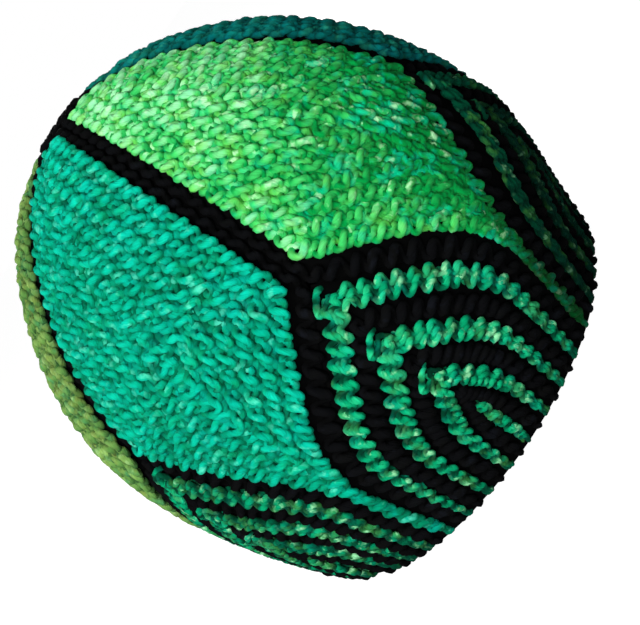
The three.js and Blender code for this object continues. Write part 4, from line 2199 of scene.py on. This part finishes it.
@dataclass
class Studio:
    """Pale floor, soft light and the camera at the photo's angle, in metres and degrees."""

    centre: Vector = field(default_factory=lambda: Vector((0.0, 0.0, 0.1)))
    azimuth: float = -1.35
    elevation: float = 11.33
    roll: float = -56.34
    distance: float = 0.4744
    aim_right: float = -0.00413
    aim_up: float = -0.03269
    lens_mm: float = 66.65
    sensor_mm: float = 36.0
    floor_radius: float = 6.0
    floor_sides: int = 96
    floor_colour: Colour = (0.25, 0.25, 0.25)
    floor_roughness: float = 0.9
    floor_specular: float = 0.1
    floor_glow: float = 0.96
    sky_seen: float = 1.0
    sky_light: float = 0.1
    sky_tint: Colour = (0.95, 1.0, 1.0)
    lamps: tuple[Lamp, ...] = (
        Lamp("key_light", (-0.6, -0.85, 1.0), 0.5, 15.0, (1.0, 1.0, 0.97)),
        Lamp("fill_light", (-0.28, -1.1, 0.3), 0.6, 10.5, (0.95, 1.0, 1.0)),
        Lamp("back_light", (0.2, 1.2, 0.4), 0.6, 8.0, WHITE),
    )

    def camera(self) -> None:
        """Places the camera."""
        azimuth, elevation, roll = map(math.radians, (self.azimuth, self.elevation, self.roll))
        away = Vector((
            math.sin(azimuth) * math.cos(elevation),
            -math.cos(azimuth) * math.cos(elevation),
            math.sin(elevation),
        ))
        place = self.centre + away * self.distance
        up_axis = Vector((0.0, 0.0, 1.0))
        right = (-away).cross(up_axis).normalized()
        up = right.cross(-away).normalized()
        aim = self.centre + right * self.aim_right + up * self.aim_up
        forward = (aim - place).normalized()
        right = forward.cross(up_axis).normalized()
        up = right.cross(forward).normalized()
        x_axis = right * math.cos(roll) + up * math.sin(roll)
        y_axis = up * math.cos(roll) - right * math.sin(roll)
        rows = Matrix((x_axis, y_axis, -forward)).transposed()
        data = bpy.data.cameras.new("photo_camera")
        data.lens = self.lens_mm
        data.sensor_width = self.sensor_mm
        camera = bpy.data.objects.new("photo_camera", data)
        camera.matrix_world = Matrix.Translation(place) @ rows.to_4x4()
        bpy.context.scene.collection.objects.link(camera)
        bpy.context.scene.camera = camera

    def lights(self) -> None:
        """Key light from above the front left, and weak ones from the front and the back."""
        for lamp in self.lamps:
            data = bpy.data.lights.new(lamp.name, "AREA")
            data.size = lamp.side
            data.energy = lamp.power
            data.color = lamp.colour
            light = bpy.data.objects.new(lamp.name, data)
            light.location = lamp.place
            facing = self.centre - Vector(lamp.place)
            light.rotation_euler = facing.to_track_quat("-Z", "Y").to_euler()
            bpy.context.scene.collection.objects.link(light)

    def floor(self) -> None:
        """Round pale floor, which looks white to the camera."""
        grid = bmesh.new()
        bmesh.ops.create_circle(grid, cap_ends=True, segments=self.floor_sides, radius=self.floor_radius)
        mesh = bpy.data.meshes.new("floor")
        grid.to_mesh(mesh)
        grid.free()
        material = bpy.data.materials.new("floor_paper")
        material.use_nodes = True
        sketch = NodeSketch(material.node_tree)
        seen = sketch.add("ShaderNodeLightPath").outputs["Is Camera Ray"]
        feeds = {
            "Base Color": rgba(self.floor_colour),
            "Roughness": self.floor_roughness,
            "Specular IOR Level": self.floor_specular,
            "Emission Color": rgba(WHITE),
            "Emission Strength": sketch.times(seen, self.floor_glow),
        }
        sketch.feed_all(material.node_tree.nodes["Principled BSDF"], feeds)
        mesh.materials.append(material)
        floor = bpy.data.objects.new("floor", mesh)
        bpy.context.scene.collection.objects.link(floor)

    def sky(self) -> None:
        """Even white surroundings, bright to the camera and softer as light."""
        world = bpy.data.worlds.new("studio")
        world.use_nodes = True
        sketch = NodeSketch(world.node_tree)
        nodes = world.node_tree.nodes
        sketch.feed_all(nodes["Background"], {"Color": rgba(WHITE), "Strength": self.sky_seen})
        feeds = {"Color": rgba(self.sky_tint), "Strength": self.sky_light}
        light = sketch.add("ShaderNodeBackground", feeds).outputs[0]
        seen = sketch.add("ShaderNodeLightPath").outputs["Is Camera Ray"]
        feeds = {0: seen, 1: light, 2: nodes["Background"].outputs[0]}
        mixed = sketch.add("ShaderNodeMixShader", feeds).outputs[0]
        sketch.feed_all(nodes["World Output"], {"Surface": mixed})
        bpy.context.scene.world = world

    def build(self) -> None:
        """Sets up the whole studio."""
        self.camera()
        self.lights()
        self.floor()
        self.sky()
        bpy.context.scene.view_settings.view_transform = "Standard"
        LOG.info("studio: camera, %d lights, floor and sky", len(self.lamps))


# Looks of the wedges and gores, in the order of their numbers

WEDGE_LOOKS = (
    WedgeLook(),
    WedgeLook(tone_high=0.3, stripe_share=0.85, pinch_right=0.2),
    WedgeLook(tone_high=0.5),
    WedgeLook(),
    WedgeLook(tone_high=0.55),
    # Low, stepping and steeply falling tones: painted shade on this wedge
    WedgeLook(tone_high=0.15, tone_step=0.4, tone_fall=1.2, stripe_share=0.5, pinch_left=-0.28),
)
GORE_LOOKS = (
    # Painted shadow on this gore's tail and painted shade on its right-hand side
    GoreLook(LEAF_GREEN, tone_tail=2.0, right_shade=1.0),
    # Painted light on this gore's right-hand side
    GoreLook(SEA_TEAL, tone_middle=0.4, right_shade=-0.2),
    GoreLook(MOSS_OLIVE),
    GoreLook(JADE),
    GoreLook(LEAF_GREEN),
    GoreLook(DEEP_TEAL),
)


def main() -> None:
    """Builds every piece in order."""
    logging.basicConfig(level=logging.INFO, format="%(name)s: %(message)s")
    Studio().build()
    form = HatForm()
    plan = ChevronPlan(form)
    shop = Workshop(form, plan, StrandPlan(plan), Relief(plan), RidgeTree())
    groups = FibreGroup(), HeatherAndPaintedLightGroup(), PlyGroup()
    for finish in ALL_YARNS:
        shop.yarns[finish.slot] = finish.material(*groups)
    for index, (gore, wedge) in enumerate(zip(GORE_LOOKS, WEDGE_LOOKS), start=1):
        Gore(shop, index, gore).dress()
        Band(shop, index).dress()
        Wedge(shop, index, wedge).dress()
    CrownGather(shop).dress()


if __name__ == "__main__":
    main()
